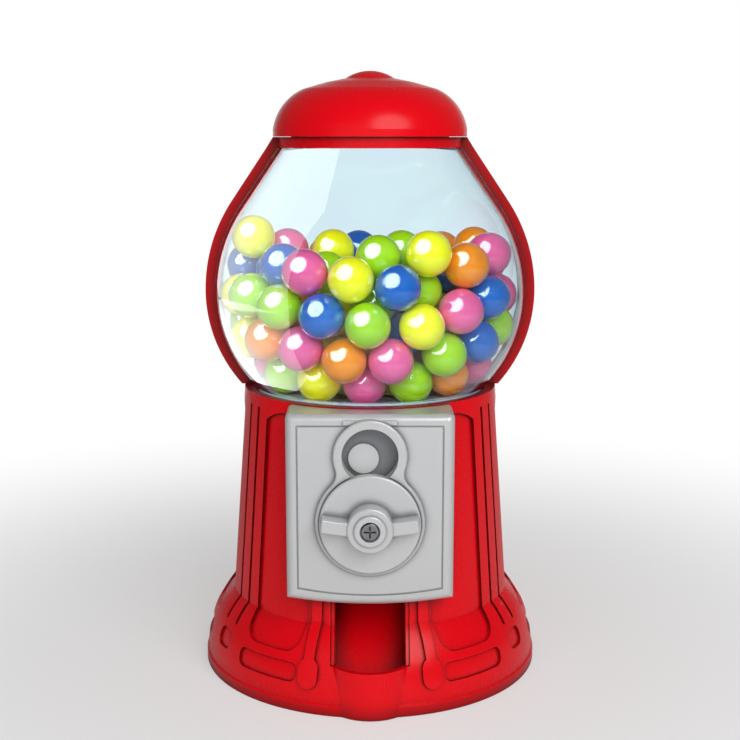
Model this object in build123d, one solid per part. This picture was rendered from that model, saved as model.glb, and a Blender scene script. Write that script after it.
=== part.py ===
from build123d import *
import math
import os
import numpy as np

# Gumball machine with a coin lever, in millimetres.
# Z is up, the front faces -Y, and the origin is the centre of the flat underside.

# Body: collar, tapering column and bell-shaped foot
column_top_radius = 59.6
column_taper = 7.2
foot_flare = 13.4
foot_rim_height = 4.5
foot_rim_step = 0.8
column_foot_height = 37.0
collar_height = 134.0
body_wall = 3.0
collar_wall = 4.2
collar_depth = 8.2
ledge_width = 1.7
ledge_thickness = 2.4

# Body relief: sunken fields and grooves, pads on the foot, and a club-shaped rib on each side of the slot
field_depth = 1.5
field_half_angle = 13.6
field_first_angle = 37.4
field_second_angle = 90.0
field_third_angle = 142.6
field_low = 24.5
field_high_margin = 5.0
field_corner = 7.0
groove_first_angle = 57.5
groove_second_angle = 65.5
groove_width = 2.0
groove_low = 27.0
pad_depth = 1.1
pad_low = 12.5
pad_high = 21.0
pad_corner = 3.4
pad_half_angle = 12.2
small_pad_half_angle = 4.4
small_pad_rise = 3.0
club_rise = 1.6
club_angle = 20.4
club_low = 11.5
club_overlap = 0.8
club_width = 4.6
club_head_width = 9.0
club_head_height = 13.0

# Slot and cup at the front of the foot
slot_half_width = 17.5
cup_wall = 2.3
cup_bulge = 3.2
cup_height = 21.5
cup_floor_height = 8.0
cup_floor_thickness = 2.4

# Opening in the column behind the panel
window_half_width = 24.6
window_low_margin = 0.8
window_rise = 34.0

# Globe of two clear shells
globe_radius = 72.8
bowl_seat_rise = 0.7
bowl_arc_radius = 62.1
shoulder_arc_radius = 70.85
shoulder_angle = 34.0
globe_neck_radius = 42.5
globe_wall = 2.0
globe_neck_height = 3.6
seam_gap = 0.3

# Red hoop and neck ring
hoop_thickness = 4.6
hoop_depth = 9.0
neck_lip_width = 3.4
neck_lip_thickness = 1.2

# Lid
lid_overhang = 2.4
lid_height = 29.7
lid_wall = 2.2
lid_spigot_depth = 4.4
lid_spigot_wall = 2.4
lid_seal_height = 1.6
lid_seal_width = 0.9
# Outline of the crown, as shares of the lid's radius and height
lid_side_share = (1.0, 0.11)
lid_shoulder_share = (0.945, 0.36)
lid_crown_share = (0.69, 0.72)
lid_brow_share = (0.45, 0.825)
lid_peak_foot_share = (0.25, 0.885)

# Front panel
panel_half_width = 36.4
panel_stand = 3.8
panel_top_drop = 0.6
panel_drop = 34.8
panel_sag = 3.2
panel_wall = 2.2
panel_corner = 2.4
panel_edge_round = 3.4
panel_line_inset = 4.6
panel_line_width = 0.8
panel_line_depth = 0.5
boss_rise = 2.6
boss_low_margin = 1.8
boss_high_margin = 3.8
boss_neck_round = 7.0
boss_edge_round = 0.9
brow_half_width = 11.5
brow_height = 1.8
brow_rise = 0.9
brow_gap = 1.5
pocket_radius = 12.2
pocket_rise = 29.5
well_depth = 1.4

# Lever
lever_radius = 21.9
lever_thickness = 3.4
lever_edge_round = 0.9
grip_rise = 8.0
grip_half_height = 3.1
grip_end_lift = 2.2
grip_edge_round = 0.9
hub_radius = 7.0
hub_rise = 10.0
hub_edge_round = 1.0
hub_ring_radius = 10.0
hub_ring_rise = 8.8
hub_recess_radius = 4.4
hub_recess_depth = 1.4
lever_screw_radius = 1.5
lever_screw_length = 9.0
lever_screw_head = 3.9
lever_screw_head_height = 1.1
shaft_radius = 3.0
shaft_back = 8.6
bush_wall = 2.2
bush_flange = 1.4
bush_flange_thickness = 1.0

# Coin path
carrier_rim_drop = 0.7
carrier_thickness = 2.2
carrier_hub_radius = 7.0
carrier_hub_length = 4.6
notch_clearance = 0.2
coin_stop_margin = 0.8
coin_stop_thickness = 2.0
coin_stop_rise = 1.3
coin_button_radius = 6.7
coin_button_shift = 2.8
coin_post_radius = 4.0
coin_post_drop = 7.0
coin_pin_radius = 1.6
coin_pin_length = 2.0
ramp_thickness = 1.6
ramp_drop = 11.6
ramp_fall = 9.6
ramp_inner = 2.0
ramp_outer = 33.0

# Gum wheel and the frame that carries it
ball_radius = 10.0
ball_gap = 0.3
ball_room = 1.6
wheel_radius = 28.0
wheel_width = 24.0
wheel_centre_back = 31.0
wheel_side_gap = 0.5
wheel_rim_gap = 0.5
wheel_hub_floor = 6.4
cradle_wall = 2.0
plate_thickness = 2.5
plate_half_width = 33.4
plate_drop = 31.0
plate_rise = 29.6
plate_corner = 3.0
post_margin = 3.9
post_rise = 26.5
post_radius = 3.2
body_boss_radius = 4.2
screw_hole_radius = 1.6
screw_head_radius = 2.7
screw_head_height = 1.6
screw_grip = 6.0
pilot_radius = 1.15
driver_slot_width = 0.8
driver_slot_depth = 0.7
click_wheel_radius = 12.6
click_wheel_thickness = 3.0
click_tooth_depth = 1.4
click_tooth_count = 12
click_crest_share = 0.75
click_gap = 0.3
click_leaf_thickness = 0.9
click_leaf_width = 2.4
click_block = 6.0
click_block_across = 21.0
click_block_drop = 14.0
rear_gap = 0.4
clip_thickness = 0.9
clip_radius = 5.6
clip_mouth = 3.4
clip_groove_depth = 0.6

# Trough from the wheel to the cup
trough_wall = 1.5
trough_top_gap = 0.6
trough_back_gap = 0.6
trough_bend_drop = 9.4
trough_lip_gap = 3.8
trough_lip_length = 7.0
cup_underlap = 15.8
trough_front_inset = 0.8

# Hopper: floor of the globe
hopper_sink = 2.8
hopper_slope = 5.2
hopper_wall = 2.2
hopper_rim_height = 1.2
throat_length = 16.0
throat_gap = 1.2
hopper_flange_thickness = 1.9

# Loose balls
ball_total = 120
ball_start_low_share = 0.02
ball_start_high_share = 0.62
settle_rounds = 420
settle_drop_share = 0.05
ball_colours = ("blue", "pink", "green", "yellow", "orange")
# Balls seen through the front: across and up as shares of the globe's radius, then the colour
front_ball_shares = (
    (-0.56, 0.27, "blue"), (-0.28, 0.29, "pink"), (0.00, 0.30, "green"), (0.27, 0.27, "yellow"),
    (0.55, 0.26, "blue"), (-0.66, 0.06, "yellow"), (-0.41, 0.10, "green"), (-0.15, 0.15, "yellow"),
    (0.10, 0.12, "blue"), (0.29, 0.03, "yellow"), (0.45, 0.16, "orange"), (0.60, 0.03, "pink"),
    (-0.52, -0.12, "orange"), (-0.26, -0.08, "blue"), (-0.07, -0.03, "green"), (0.16, -0.15, "pink"),
    (0.38, -0.13, "green"), (0.62, -0.22, "blue"), (-0.62, -0.33, "green"), (-0.37, -0.29, "pink"),
    (-0.06, -0.25, "orange"), (-0.20, -0.42, "yellow"), (-0.05, -0.47, "pink"), (0.18, -0.42, "green"),
    (0.42, -0.38, "orange"),
)

# Underside
plate_floor_thickness = 2.6
plate_floor_gap = 0.35
base_screw_inset = 9.6
base_boss_radius = 4.4
base_boss_height = 16.0
base_screw_length = 11.0
base_screw_angle = 45.0
plug_back = 36.0
plug_radius = 18.0
plug_gap = 0.25
plug_thickness = 2.2
plug_recess = 0.5
plug_neck_radius = 16.4
plug_lug_reach = 2.6
plug_lug_thickness = 1.6
plug_lug_half_angle = 14.0
plug_notch_half_angle = 16.0
plug_lug_gap = 0.3
plug_turn = 60.0
plug_grip_half_width = 2.0
plug_grip_half_length = 11.0
plug_grip_depth = 1.3

# Working clearances
fit_gap = 0.2
running_gap = 0.05
overrun = 2.0
edge_pick = 0.2

# Radii, levels and depths that follow from the sizes above
column_foot_radius = column_top_radius + column_taper
foot_radius = column_foot_radius + foot_flare
cup_reach = foot_radius + cup_bulge
base_screw_ring = foot_radius - base_screw_inset
hopper_throat_floor = collar_height - hopper_sink
hopper_throat_low = hopper_throat_floor - throat_length
lever_height = hopper_throat_low - throat_gap - wheel_radius
pocket_height = lever_height + pocket_rise
carrier_radius = pocket_rise - carrier_rim_drop
coin_stop_radius = pocket_radius + coin_stop_margin
boss_low_radius = lever_radius + boss_low_margin
boss_high_radius = pocket_radius + boss_high_margin
panel_front = column_foot_radius + panel_stand
panel_top = collar_height - panel_top_drop
panel_low = lever_height - panel_drop
window_low = panel_low + window_low_margin
window_high = lever_height + window_rise
club_high = panel_low + club_overlap
plate_low = lever_height - plate_drop
plate_high = lever_height + plate_rise
post_across = plate_half_width - post_margin
wheel_front = wheel_centre_back + wheel_width / 2
wheel_back = wheel_centre_back - wheel_width / 2
trough_top = lever_height - wheel_radius - trough_top_gap
trough_back = wheel_back + trough_back_gap
trough_bend_height = trough_top - trough_bend_drop
trough_lip_end = column_foot_radius - trough_lip_gap
trough_lip_front = trough_lip_end - trough_lip_length
lid_radius = globe_neck_radius + lid_overhang


def face(*edges):
    return make_face(Curve() + list(edges))


def spin(*points):
    """Solid of revolution about Z from corner points (radius, height)."""
    return revolve(Plane.XZ * make_face(Polyline(*points, close=True)), Axis.Z)


def rectangle(x0, x1, z0, z1):
    """Rectangle in the plane of a radial section."""
    return Pos((x0 + x1) / 2, (z0 + z1) / 2) * Rectangle(x1 - x0, z1 - z0)


def tube(outer, inner, low, high):
    return spin((inner, low), (outer, low), (outer, high), (inner, high))


def drum(radius, low, high, x=0, y=0):
    """Upright cylinder."""
    return Pos(x, y, low) * Cylinder(radius, high - low, align=(Align.CENTER, Align.CENTER, Align.MIN))


def rod(radius, front, back, x=0, z=0):
    """Cylinder along Y, from the front depth to the back depth, both counted forwards."""
    solid = Cylinder(radius, front - back, align=(Align.CENTER, Align.CENTER, Align.MIN))
    return Pos(x, -back, z) * Rot(90, 0, 0) * solid


def block(x0, x1, y0, y1, z0, z1):
    return Pos((x0 + x1) / 2, (y0 + y1) / 2, (z0 + z1) / 2) * Box(x1 - x0, y1 - y0, z1 - z0)


def push(sketch, front, back):
    """Extrude an outline drawn in X and Z, from the front depth to the back depth."""
    return Pos(0, -back, 0) * extrude(Plane.XZ * sketch, amount=front - back)


def rims_at(solid, front):
    """Edges that lie at a depth in front."""
    return solid.edges().filter_by_position(Axis.Y, -front - edge_pick, -front + edge_pick)


def turned(solid, angle):
    return Rot(0, 0, angle) * solid


# Body outline
arc_low = foot_rim_height + foot_rim_step
arc_rise = column_foot_height - arc_low
foot_arc_start = foot_radius - foot_rim_step
foot_arc_inset = foot_arc_start - column_foot_radius
foot_arc_radius = (arc_rise**2 + foot_arc_inset**2) / (2 * foot_arc_inset)
foot_arc_centre = foot_arc_start - foot_arc_radius
foot_arc_angle = math.atan2(arc_rise, column_foot_radius - foot_arc_centre)


def column_radius(height):
    share = (height - column_foot_height) / (collar_height - column_foot_height)
    return column_foot_radius + share * (column_top_radius - column_foot_radius)


def foot_arc_point(inset, angle):
    radius = foot_arc_radius - inset
    return (foot_arc_centre + radius * math.cos(angle), arc_low + radius * math.sin(angle))


def body_form(inset, low, high, rim=True):
    """The body's outer form, drawn in by an inset, from a low to a high level."""
    start = foot_arc_point(inset, 0)
    middle = foot_arc_point(inset, foot_arc_angle / 2)
    end = foot_arc_point(inset, foot_arc_angle)
    top = (column_radius(high) - inset, high)
    axis_top = (0, high)
    axis_low = (0, low)
    edges = [ThreePointArc(start, middle, end), Line(end, top)]
    edges += [Line(top, axis_top), Line(axis_top, axis_low)]
    if rim:
        rim_radius = foot_radius - inset
        edges += [Line((0, low), (rim_radius, low)), Line((rim_radius, low), (rim_radius, foot_rim_height))]
        edges += [Line((rim_radius, foot_rim_height), start)]
    else:
        edges += [Line((0, low), (start[0], low)), Line((start[0], low), start)]
    return revolve(Plane.XZ * face(*edges), Axis.Z)


collar_bore = column_top_radius - collar_wall
ledge_top = collar_height - collar_depth
ledge_low = ledge_top - ledge_thickness
ledge_bore = collar_bore - ledge_width
slot_wall = slot_half_width + cup_wall
cup_centre = cup_reach - slot_wall
cup_floor_low = cup_floor_height - cup_floor_thickness
cup_back = trough_lip_front - cup_underlap
plate_back = wheel_front + wheel_side_gap
plate_front = plate_back + plate_thickness
post_places = [
    (side * post_across, lever_height + rise * post_rise) for side in (-1, 1) for rise in (-1, 1)
]


def side_window(outline, angle):
    """Prism that cuts an outline through the body's wall, facing an angle from the front."""
    return turned(push(outline, foot_radius + overrun, foot_radius / 3), angle)


def field_outline():
    """Outline of a sunken field: round corners at the foot, arched at the top."""
    half_low = column_foot_radius * math.sin(math.radians(field_half_angle))
    half_high = column_top_radius * math.sin(math.radians(field_half_angle))
    high = collar_height - field_high_margin
    shoulder = high - half_high / 3
    outline = face(
        Line((-half_low, field_low), (half_low, field_low)),
        Line((half_low, field_low), (half_high, shoulder)),
        ThreePointArc((half_high, shoulder), (0, high), (-half_high, shoulder)),
        Line((-half_high, shoulder), (-half_low, field_low)),
    )
    return fillet(outline.vertices().sort_by(Axis.Y)[:2], field_corner)


def groove_outline():
    high = collar_height - field_high_margin
    return Pos(0, (groove_low + high) / 2) * SlotOverall(high - groove_low, groove_width, rotation=90)


def pad_outline(half_angle, rise):
    """Outline of a sunken pad on the bell of the foot, raised or not."""
    width = 2 * foot_radius * math.sin(math.radians(half_angle))
    return Pos(0, (pad_low + pad_high) / 2 + rise) * RectangleRounded(width, pad_high - pad_low, pad_corner)


def club_outline(margin):
    """Outline of the rib beside the slot, grown by a margin: a narrow stem with a round head at the foot."""
    length = club_high - club_low + 2 * margin
    head_length = club_head_height + 2 * margin
    stem = SlotOverall(length, club_width + 2 * margin, rotation=90)
    head = SlotOverall(head_length, club_head_width + 2 * margin, rotation=90)
    return Pos(0, (club_low + club_high) / 2) * stem + Pos(0, club_low + club_head_height / 2) * head


def club_form(margin):
    """The ribs on both sides of the slot with what lies behind them, grown by a margin."""
    skin = body_form(-club_rise - margin, club_low - overrun, collar_height, rim=False)
    outline = club_outline(margin)
    return [skin & side_window(outline, side * club_angle) for side in (-1, 1)]


def body_relief(depth, outline, angles):
    """Sunken places of one outline on both sides, cut to one depth below the body's surface."""
    outside = body_form(-overrun, -overrun, collar_height + overrun)
    skin = outside - body_form(depth, -overrun, collar_height + overrun)
    return skin & Compound([side_window(outline, side * angle) for side in (-1, 1) for angle in angles])


def make_clubs():
    """Raised ribs on both sides of the slot."""
    inside = body_form(body_wall / 2, club_low - 2 * overrun, collar_height + overrun, rim=False)
    return [club - inside for club in club_form(0)]


def cup_form(margin, low, high):
    """Plan of the cup: a half round front with straight sides that run back into the body."""
    radius = slot_wall - margin
    sides = block(-radius, radius, -cup_centre, -cup_back, low, high)
    return drum(radius, low, high, 0, -cup_centre) + sides


base_screw_places = [
    (
        base_screw_ring * math.cos(math.radians(base_screw_angle + 90 * index)),
        base_screw_ring * math.sin(math.radians(base_screw_angle + 90 * index)),
    )
    for index in range(4)
]


def cup_room(low, high):
    """Space between the cup's walls, open behind."""
    room = cup_form(cup_wall, low, high)
    return room + block(-slot_half_width, slot_half_width, -cup_centre, 0, low, high)


def make_cup():
    """Cup that bulges from the foot, hollow below its floor."""
    cup = cup_form(0, 0, cup_height) - cup_room(-overrun, cup_floor_low)
    return cup - drum(foot_arc_start - body_wall, -overrun, plate_floor_thickness + plate_floor_gap)


def make_base_bosses():
    """Bosses for the base screws, each with a rib to the wall."""
    low = plate_floor_thickness + plate_floor_gap
    limit = body_form(body_wall / 2, 0, collar_height)
    bosses = []
    for index, (x, y) in enumerate(base_screw_places):
        rib = block(
            base_screw_ring, foot_radius - body_wall, -body_wall / 2, body_wall / 2, low, base_boss_height
        )
        boss = drum(base_boss_radius, low, base_boss_height, x, y)
        bosses.append((boss + turned(rib, base_screw_angle + 90 * index)) & limit)
    return bosses


def make_body_shell():
    form = body_form(0, 0, collar_height)
    inner_low = foot_arc_point(body_wall, 0)
    inner_mid = foot_arc_point(body_wall, foot_arc_angle / 2)
    inner_end = foot_arc_point(body_wall, foot_arc_angle)
    inner_top = (column_radius(ledge_low) - body_wall, ledge_low)
    hollow = face(
        ThreePointArc(inner_low, inner_mid, inner_end),
        Line(inner_end, inner_top),
        Line(inner_top, (ledge_bore, ledge_low)),
        Line((ledge_bore, ledge_low), (ledge_bore, ledge_top)),
        Line((ledge_bore, ledge_top), (collar_bore, ledge_top)),
        Line((collar_bore, ledge_top), (collar_bore, collar_height + overrun)),
        Line((collar_bore, collar_height + overrun), (0, collar_height + overrun)),
        Line((0, collar_height + overrun), (0, -overrun)),
        Line((0, -overrun), (inner_low[0], -overrun)),
        Line((inner_low[0], -overrun), inner_low),
    )
    window = block(-window_half_width, window_half_width, -foot_radius, -cup_back, window_low, window_high)
    slot = block(
        -slot_half_width, slot_half_width, -foot_radius - overrun, -cup_back, cup_height,
        window_low + overrun,
    )
    shell = form - revolve(Plane.XZ * hollow, Axis.Z) - [window, slot]
    bosses = [rod(body_boss_radius, foot_radius, plate_front + fit_gap, x, z) & form for x, z in post_places]
    shell = shell + ([make_cup()] + bosses + make_base_bosses() + make_clubs())
    holes = [cup_room(cup_floor_height, cup_height + overrun)]
    for x, z in post_places:
        holes.append(rod(screw_hole_radius, foot_radius, plate_front - overrun, x, z))
    for x, y in base_screw_places:
        holes.append(drum(pilot_radius, 0, base_boss_height - body_wall, x, y))
    field_angles = (field_first_angle, field_second_angle, field_third_angle)
    groove_angles = [groove_first_angle, groove_second_angle]
    groove_angles += [2 * field_second_angle - angle for angle in groove_angles]
    between = (groove_first_angle + groove_second_angle) / 2
    reliefs = [
        body_relief(field_depth, field_outline(), field_angles),
        body_relief(field_depth, groove_outline(), groove_angles),
        body_relief(pad_depth, pad_outline(pad_half_angle, 0), field_angles),
        body_relief(
            pad_depth, pad_outline(small_pad_half_angle, small_pad_rise),
            (between, 2 * field_second_angle - between),
        ),
    ]
    return shell - (holes + reliefs)


def screw_along_y(front, back, radius, head_radius, head_height, x, z):
    """Screw driven forwards from the back, its head at the back with a cross in it."""
    screw = rod(radius, front, back, x, z) + rod(head_radius, back, back - head_height, x, z)
    end = head_height - back
    arm = head_radius * 2 / 3
    half = driver_slot_width / 2
    for wide, high in ((arm, half), (half, arm)):
        screw -= block(x - wide, x + wide, end - driver_slot_depth, end + overrun, z - high, z + high)
    return screw


# Globe outline
bowl_centre = globe_radius - bowl_arc_radius
spigot_radius = collar_bore - fit_gap
bowl_seat_drop = math.sqrt(bowl_arc_radius**2 - (spigot_radius - bowl_centre) ** 2)
globe_waist_height = collar_height + bowl_seat_rise + bowl_seat_drop
shoulder_centre = globe_radius - shoulder_arc_radius
shoulder_rad = math.radians(shoulder_angle)
shoulder_point = (
    shoulder_centre + shoulder_arc_radius * math.cos(shoulder_rad),
    globe_waist_height + shoulder_arc_radius * math.sin(shoulder_rad),
)
neck_height = shoulder_point[1] + (shoulder_point[0] - globe_neck_radius) / math.tan(shoulder_rad)
neck_tube_radius = globe_neck_radius - globe_wall


def bowl_height(radius, offset):
    arc = bowl_arc_radius + offset
    return globe_waist_height - math.sqrt(arc**2 - (radius - bowl_centre) ** 2)


def globe_side(offset, low_radius):
    """Side of the globe, moved out by an offset, from a low radius up to the neck."""
    bowl = bowl_arc_radius + offset
    shoulder = shoulder_arc_radius + offset
    low = (low_radius, bowl_height(low_radius, offset))
    bowl_end = math.atan2(globe_waist_height - low[1], low_radius - bowl_centre)
    bowl_mid = (
        bowl_centre + bowl * math.cos(bowl_end / 2),
        globe_waist_height - bowl * math.sin(bowl_end / 2),
    )
    waist = (globe_radius + offset, globe_waist_height)
    shoulder_mid = (
        shoulder_centre + shoulder * math.cos(shoulder_rad / 2),
        globe_waist_height + shoulder * math.sin(shoulder_rad / 2),
    )
    turn = (
        shoulder_centre + shoulder * math.cos(shoulder_rad),
        globe_waist_height + shoulder * math.sin(shoulder_rad),
    )
    run = (neck_height - turn[1]) * math.tan(shoulder_rad)
    neck = (turn[0] - run, neck_height)
    edges = [ThreePointArc(low, bowl_mid, waist), ThreePointArc(waist, shoulder_mid, turn), Line(turn, neck)]
    return edges, low, neck


def globe_form(offset, low_radius, low, high, neck, shouldered=False):
    """Solid of the globe's outline with a straight spigot below and a neck above."""
    edges, start, end = globe_side(offset, low_radius)
    if shouldered:
        edges += [Line(end, (neck, high))]
    else:
        edges += [Line(end, (neck, neck_height)), Line((neck, neck_height), (neck, high))]
    edges += [
        Line((neck, high), (0, high)),
        Line((0, high), (0, low)),
        Line((0, low), (low_radius, low)),
        Line((low_radius, low), start),
    ]
    return revolve(Plane.XZ * face(*edges), Axis.Z)


hopper_flange_top = ledge_top + fit_gap + hopper_flange_thickness
spigot_low = hopper_flange_top + fit_gap
neck_top = neck_height + globe_neck_height


def make_globe():
    outer = globe_form(0, spigot_radius, spigot_low, neck_top, neck_tube_radius)
    inner = globe_form(
        -globe_wall, spigot_radius - globe_wall, spigot_low - overrun, neck_top + overrun,
        neck_tube_radius - globe_wall,
    )
    shell = outer - inner
    reach = 2 * globe_radius
    front = shell & block(-reach, reach, -reach, -seam_gap / 2, 0, 2 * reach)
    rear = shell & block(-reach, reach, seam_gap / 2, reach, 0, 2 * reach)
    return front, rear


neck_ring_outer = globe_neck_radius
neck_ring_top = neck_top + fit_gap + neck_lip_thickness
neck_lip_bore = neck_tube_radius + fit_gap - neck_lip_width


def make_globe_frame():
    outer_low = collar_bore + collar_wall / 2
    outer = globe_form(
        hoop_thickness, outer_low, collar_height + fit_gap, neck_ring_top, lid_radius, shouldered=True
    )
    reach = 2 * globe_radius
    band = outer & block(
        -reach, reach, -hoop_depth / 2, hoop_depth / 2, collar_height + fit_gap, neck_ring_top
    )
    ring = tube(neck_ring_outer, neck_tube_radius + fit_gap, neck_height + fit_gap, neck_ring_top)
    lip = tube(neck_ring_outer, neck_lip_bore, neck_top + fit_gap, neck_ring_top)
    cavity = globe_form(
        fit_gap, spigot_radius + fit_gap, 0, neck_top + fit_gap, neck_tube_radius + fit_gap
    )
    frame = (band + ring + lip) - cavity
    return frame - drum(neck_lip_bore, 0, neck_ring_top + overrun)


lid_low = neck_ring_top + fit_gap


def lid_point(share, inset=0):
    return (lid_radius * share[0] - inset, lid_low + lid_height * share[1])


def make_lid():
    side = lid_point(lid_side_share)
    crown = lid_point(lid_crown_share)
    brow = lid_point(lid_brow_share)
    peak_foot = lid_point(lid_peak_foot_share)
    apex = (0, lid_low + lid_height)
    peak_drop = apex[1] - peak_foot[1]
    peak_round = (peak_foot[0] ** 2 + peak_drop**2) / (2 * peak_drop)
    peak_half_angle = math.asin(peak_foot[0] / peak_round) / 2
    peak_side = (
        peak_round * math.sin(peak_half_angle), apex[1] - peak_round * (1 - math.cos(peak_half_angle))
    )
    outer = face(
        Line((0, lid_low), (lid_radius, lid_low)),
        Line((lid_radius, lid_low), side),
        ThreePointArc(side, lid_point(lid_shoulder_share), crown),
        Line(crown, brow),
        Line(brow, peak_foot),
        ThreePointArc(peak_foot, peak_side, apex),
        Line(apex, (0, lid_low)),
    )
    inner_side = (side[0] - lid_wall, side[1])
    shoulder = lid_point(lid_shoulder_share)
    inner_shoulder = (shoulder[0] - lid_wall, shoulder[1] - lid_wall / 2)
    inner_crown = (crown[0] - lid_wall / 2, crown[1] - lid_wall)
    inner_top = (0, brow[1] - lid_wall)
    hollow = face(
        Line((0, lid_low - overrun), (inner_side[0], lid_low - overrun)),
        Line((inner_side[0], lid_low - overrun), inner_side),
        ThreePointArc(inner_side, inner_shoulder, inner_crown),
        Line(inner_crown, (brow[0], brow[1] - lid_wall)),
        Line((brow[0], brow[1] - lid_wall), inner_top),
        Line(inner_top, (0, lid_low - overrun)),
    )
    spigot_outer = neck_lip_bore - fit_gap - lid_seal_width / 2
    spigot_inner = spigot_outer - lid_spigot_wall
    spigot_low_end = lid_low - lid_spigot_depth
    spigot = rectangle(spigot_inner, spigot_outer, spigot_low_end, lid_low + lid_wall)
    web = rectangle(spigot_inner, lid_radius - lid_wall / 2, lid_low, lid_low + lid_wall)
    groove = rectangle(
        spigot_outer - lid_seal_width / 2, spigot_outer + overrun, spigot_low_end + lid_seal_height / 2,
        spigot_low_end + 3 * lid_seal_height / 2,
    )
    outline = (outer - hollow) + spigot + web - groove
    return revolve(Plane.XZ * outline, Axis.Z)


def make_lid_seal():
    spigot_outer = neck_lip_bore - fit_gap - lid_seal_width / 2
    low = lid_low - lid_spigot_depth + lid_seal_height / 2
    inner = spigot_outer - lid_seal_width / 2
    middle = inner + lid_seal_width / 2
    high = low + lid_seal_height
    outline = face(
        Line((inner, low), (middle, low)),
        ThreePointArc((middle, low), (inner + lid_seal_width, (low + high) / 2), (middle, high)),
        Line((middle, high), (inner, high)),
        Line((inner, high), (inner, low)),
    )
    return revolve(Plane.XZ * outline, Axis.Z)


panel_back = plate_front
boss_front = panel_front + boss_rise
panel_inner_front = panel_front - panel_wall
well_floor = boss_front - well_depth
bush_outer = shaft_radius + running_gap + bush_wall
lever_back = well_floor + running_gap * 4
lever_front = well_floor + running_gap * 4 + lever_thickness


def panel_outline(inset):
    half = panel_half_width - inset
    low = panel_low + inset
    top = panel_top - inset
    outline = face(
        Line((-half, top), (half, top)),
        Line((half, top), (half, low)),
        ThreePointArc((half, low), (0, low - panel_sag), (-half, low)),
        Line((-half, low), (-half, top)),
    )
    corners = outline.vertices().sort_by(Axis.Y)[-2:]
    return fillet(corners, max(panel_corner - inset, panel_corner / 4))


def boss_outline():
    """Two round lobes, for the lever below and the pocket above, with a rounded neck."""
    spread = pocket_height - lever_height
    low_reach = boss_low_radius + boss_neck_round
    high_reach = boss_high_radius + boss_neck_round
    rise = (low_reach**2 - high_reach**2 + spread**2) / (2 * spread)
    out = math.sqrt(low_reach**2 - rise**2)
    low_x = out * boss_low_radius / low_reach
    low_z = lever_height + rise * boss_low_radius / low_reach
    high_x = out * boss_high_radius / high_reach
    high_z = pocket_height + (rise - spread) * boss_high_radius / high_reach
    neck_x = out - boss_neck_round
    neck_z = lever_height + rise
    return face(
        ThreePointArc((low_x, low_z), (0, lever_height - boss_low_radius), (-low_x, low_z)),
        ThreePointArc((-low_x, low_z), (-neck_x, neck_z), (-high_x, high_z)),
        ThreePointArc((-high_x, high_z), (0, pocket_height + boss_high_radius), (high_x, high_z)),
        ThreePointArc((high_x, high_z), (neck_x, neck_z), (low_x, low_z)),
    )


def make_front_panel():
    panel = push(panel_outline(0), panel_front, panel_back)
    panel = fillet(rims_at(panel, panel_front), panel_edge_round)
    panel -= push(panel_outline(panel_wall), panel_inner_front, panel_back - overrun)
    line = push(panel_outline(panel_line_inset), panel_front + overrun, panel_front - panel_line_depth)
    line -= push(
        panel_outline(panel_line_inset + panel_line_width), panel_front + overrun * 2,
        panel_front - panel_line_depth * 2,
    )
    panel -= line
    boss = push(boss_outline(), boss_front, panel_inner_front)
    panel += fillet(rims_at(boss, boss_front), boss_edge_round)
    brow_low = pocket_height + boss_high_radius - brow_gap
    brow = Pos(0, brow_low) * Rectangle(2 * brow_half_width, brow_height)
    panel += push(brow, panel_front + brow_rise, panel_inner_front)
    panel -= rod(lever_radius + fit_gap * 2, boss_front + overrun, well_floor, 0, lever_height)
    root = panel_inner_front + panel_wall / 2
    for x, z in post_places:
        panel += rod(post_radius, root, panel_back, x, z)
    panel += rod(bush_outer + panel_wall, root, panel_inner_front - bush_flange, 0, lever_height)
    panel -= rod(pocket_radius, boss_front + overrun, panel_back, 0, pocket_height)
    panel -= rod(bush_outer + running_gap, boss_front + overrun, panel_back, 0, lever_height)
    panel -= rod(
        bush_outer + bush_flange + running_gap, boss_front + overrun, well_floor - bush_flange_thickness, 0,
        lever_height,
    )
    panel -= [body_form(-fit_gap, 0, collar_height + overrun)] + club_form(fit_gap)
    for x, z in post_places:
        front = panel_inner_front - panel_wall / 2
        panel -= rod(pilot_radius, front, 0, x, z)
    return panel


def make_front_bush():
    front = well_floor - running_gap
    back = panel_inner_front - bush_flange
    bush = rod(bush_outer, front, back, 0, lever_height)
    bush += rod(
        bush_outer + bush_flange, front, front - bush_flange_thickness + running_gap, 0, lever_height
    )
    return bush - rod(shaft_radius + running_gap, front + overrun, back - overrun, 0, lever_height)


hub_front = lever_front + hub_rise
shaft_front = lever_front + hub_rise - hub_recess_depth - lever_thickness


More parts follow.
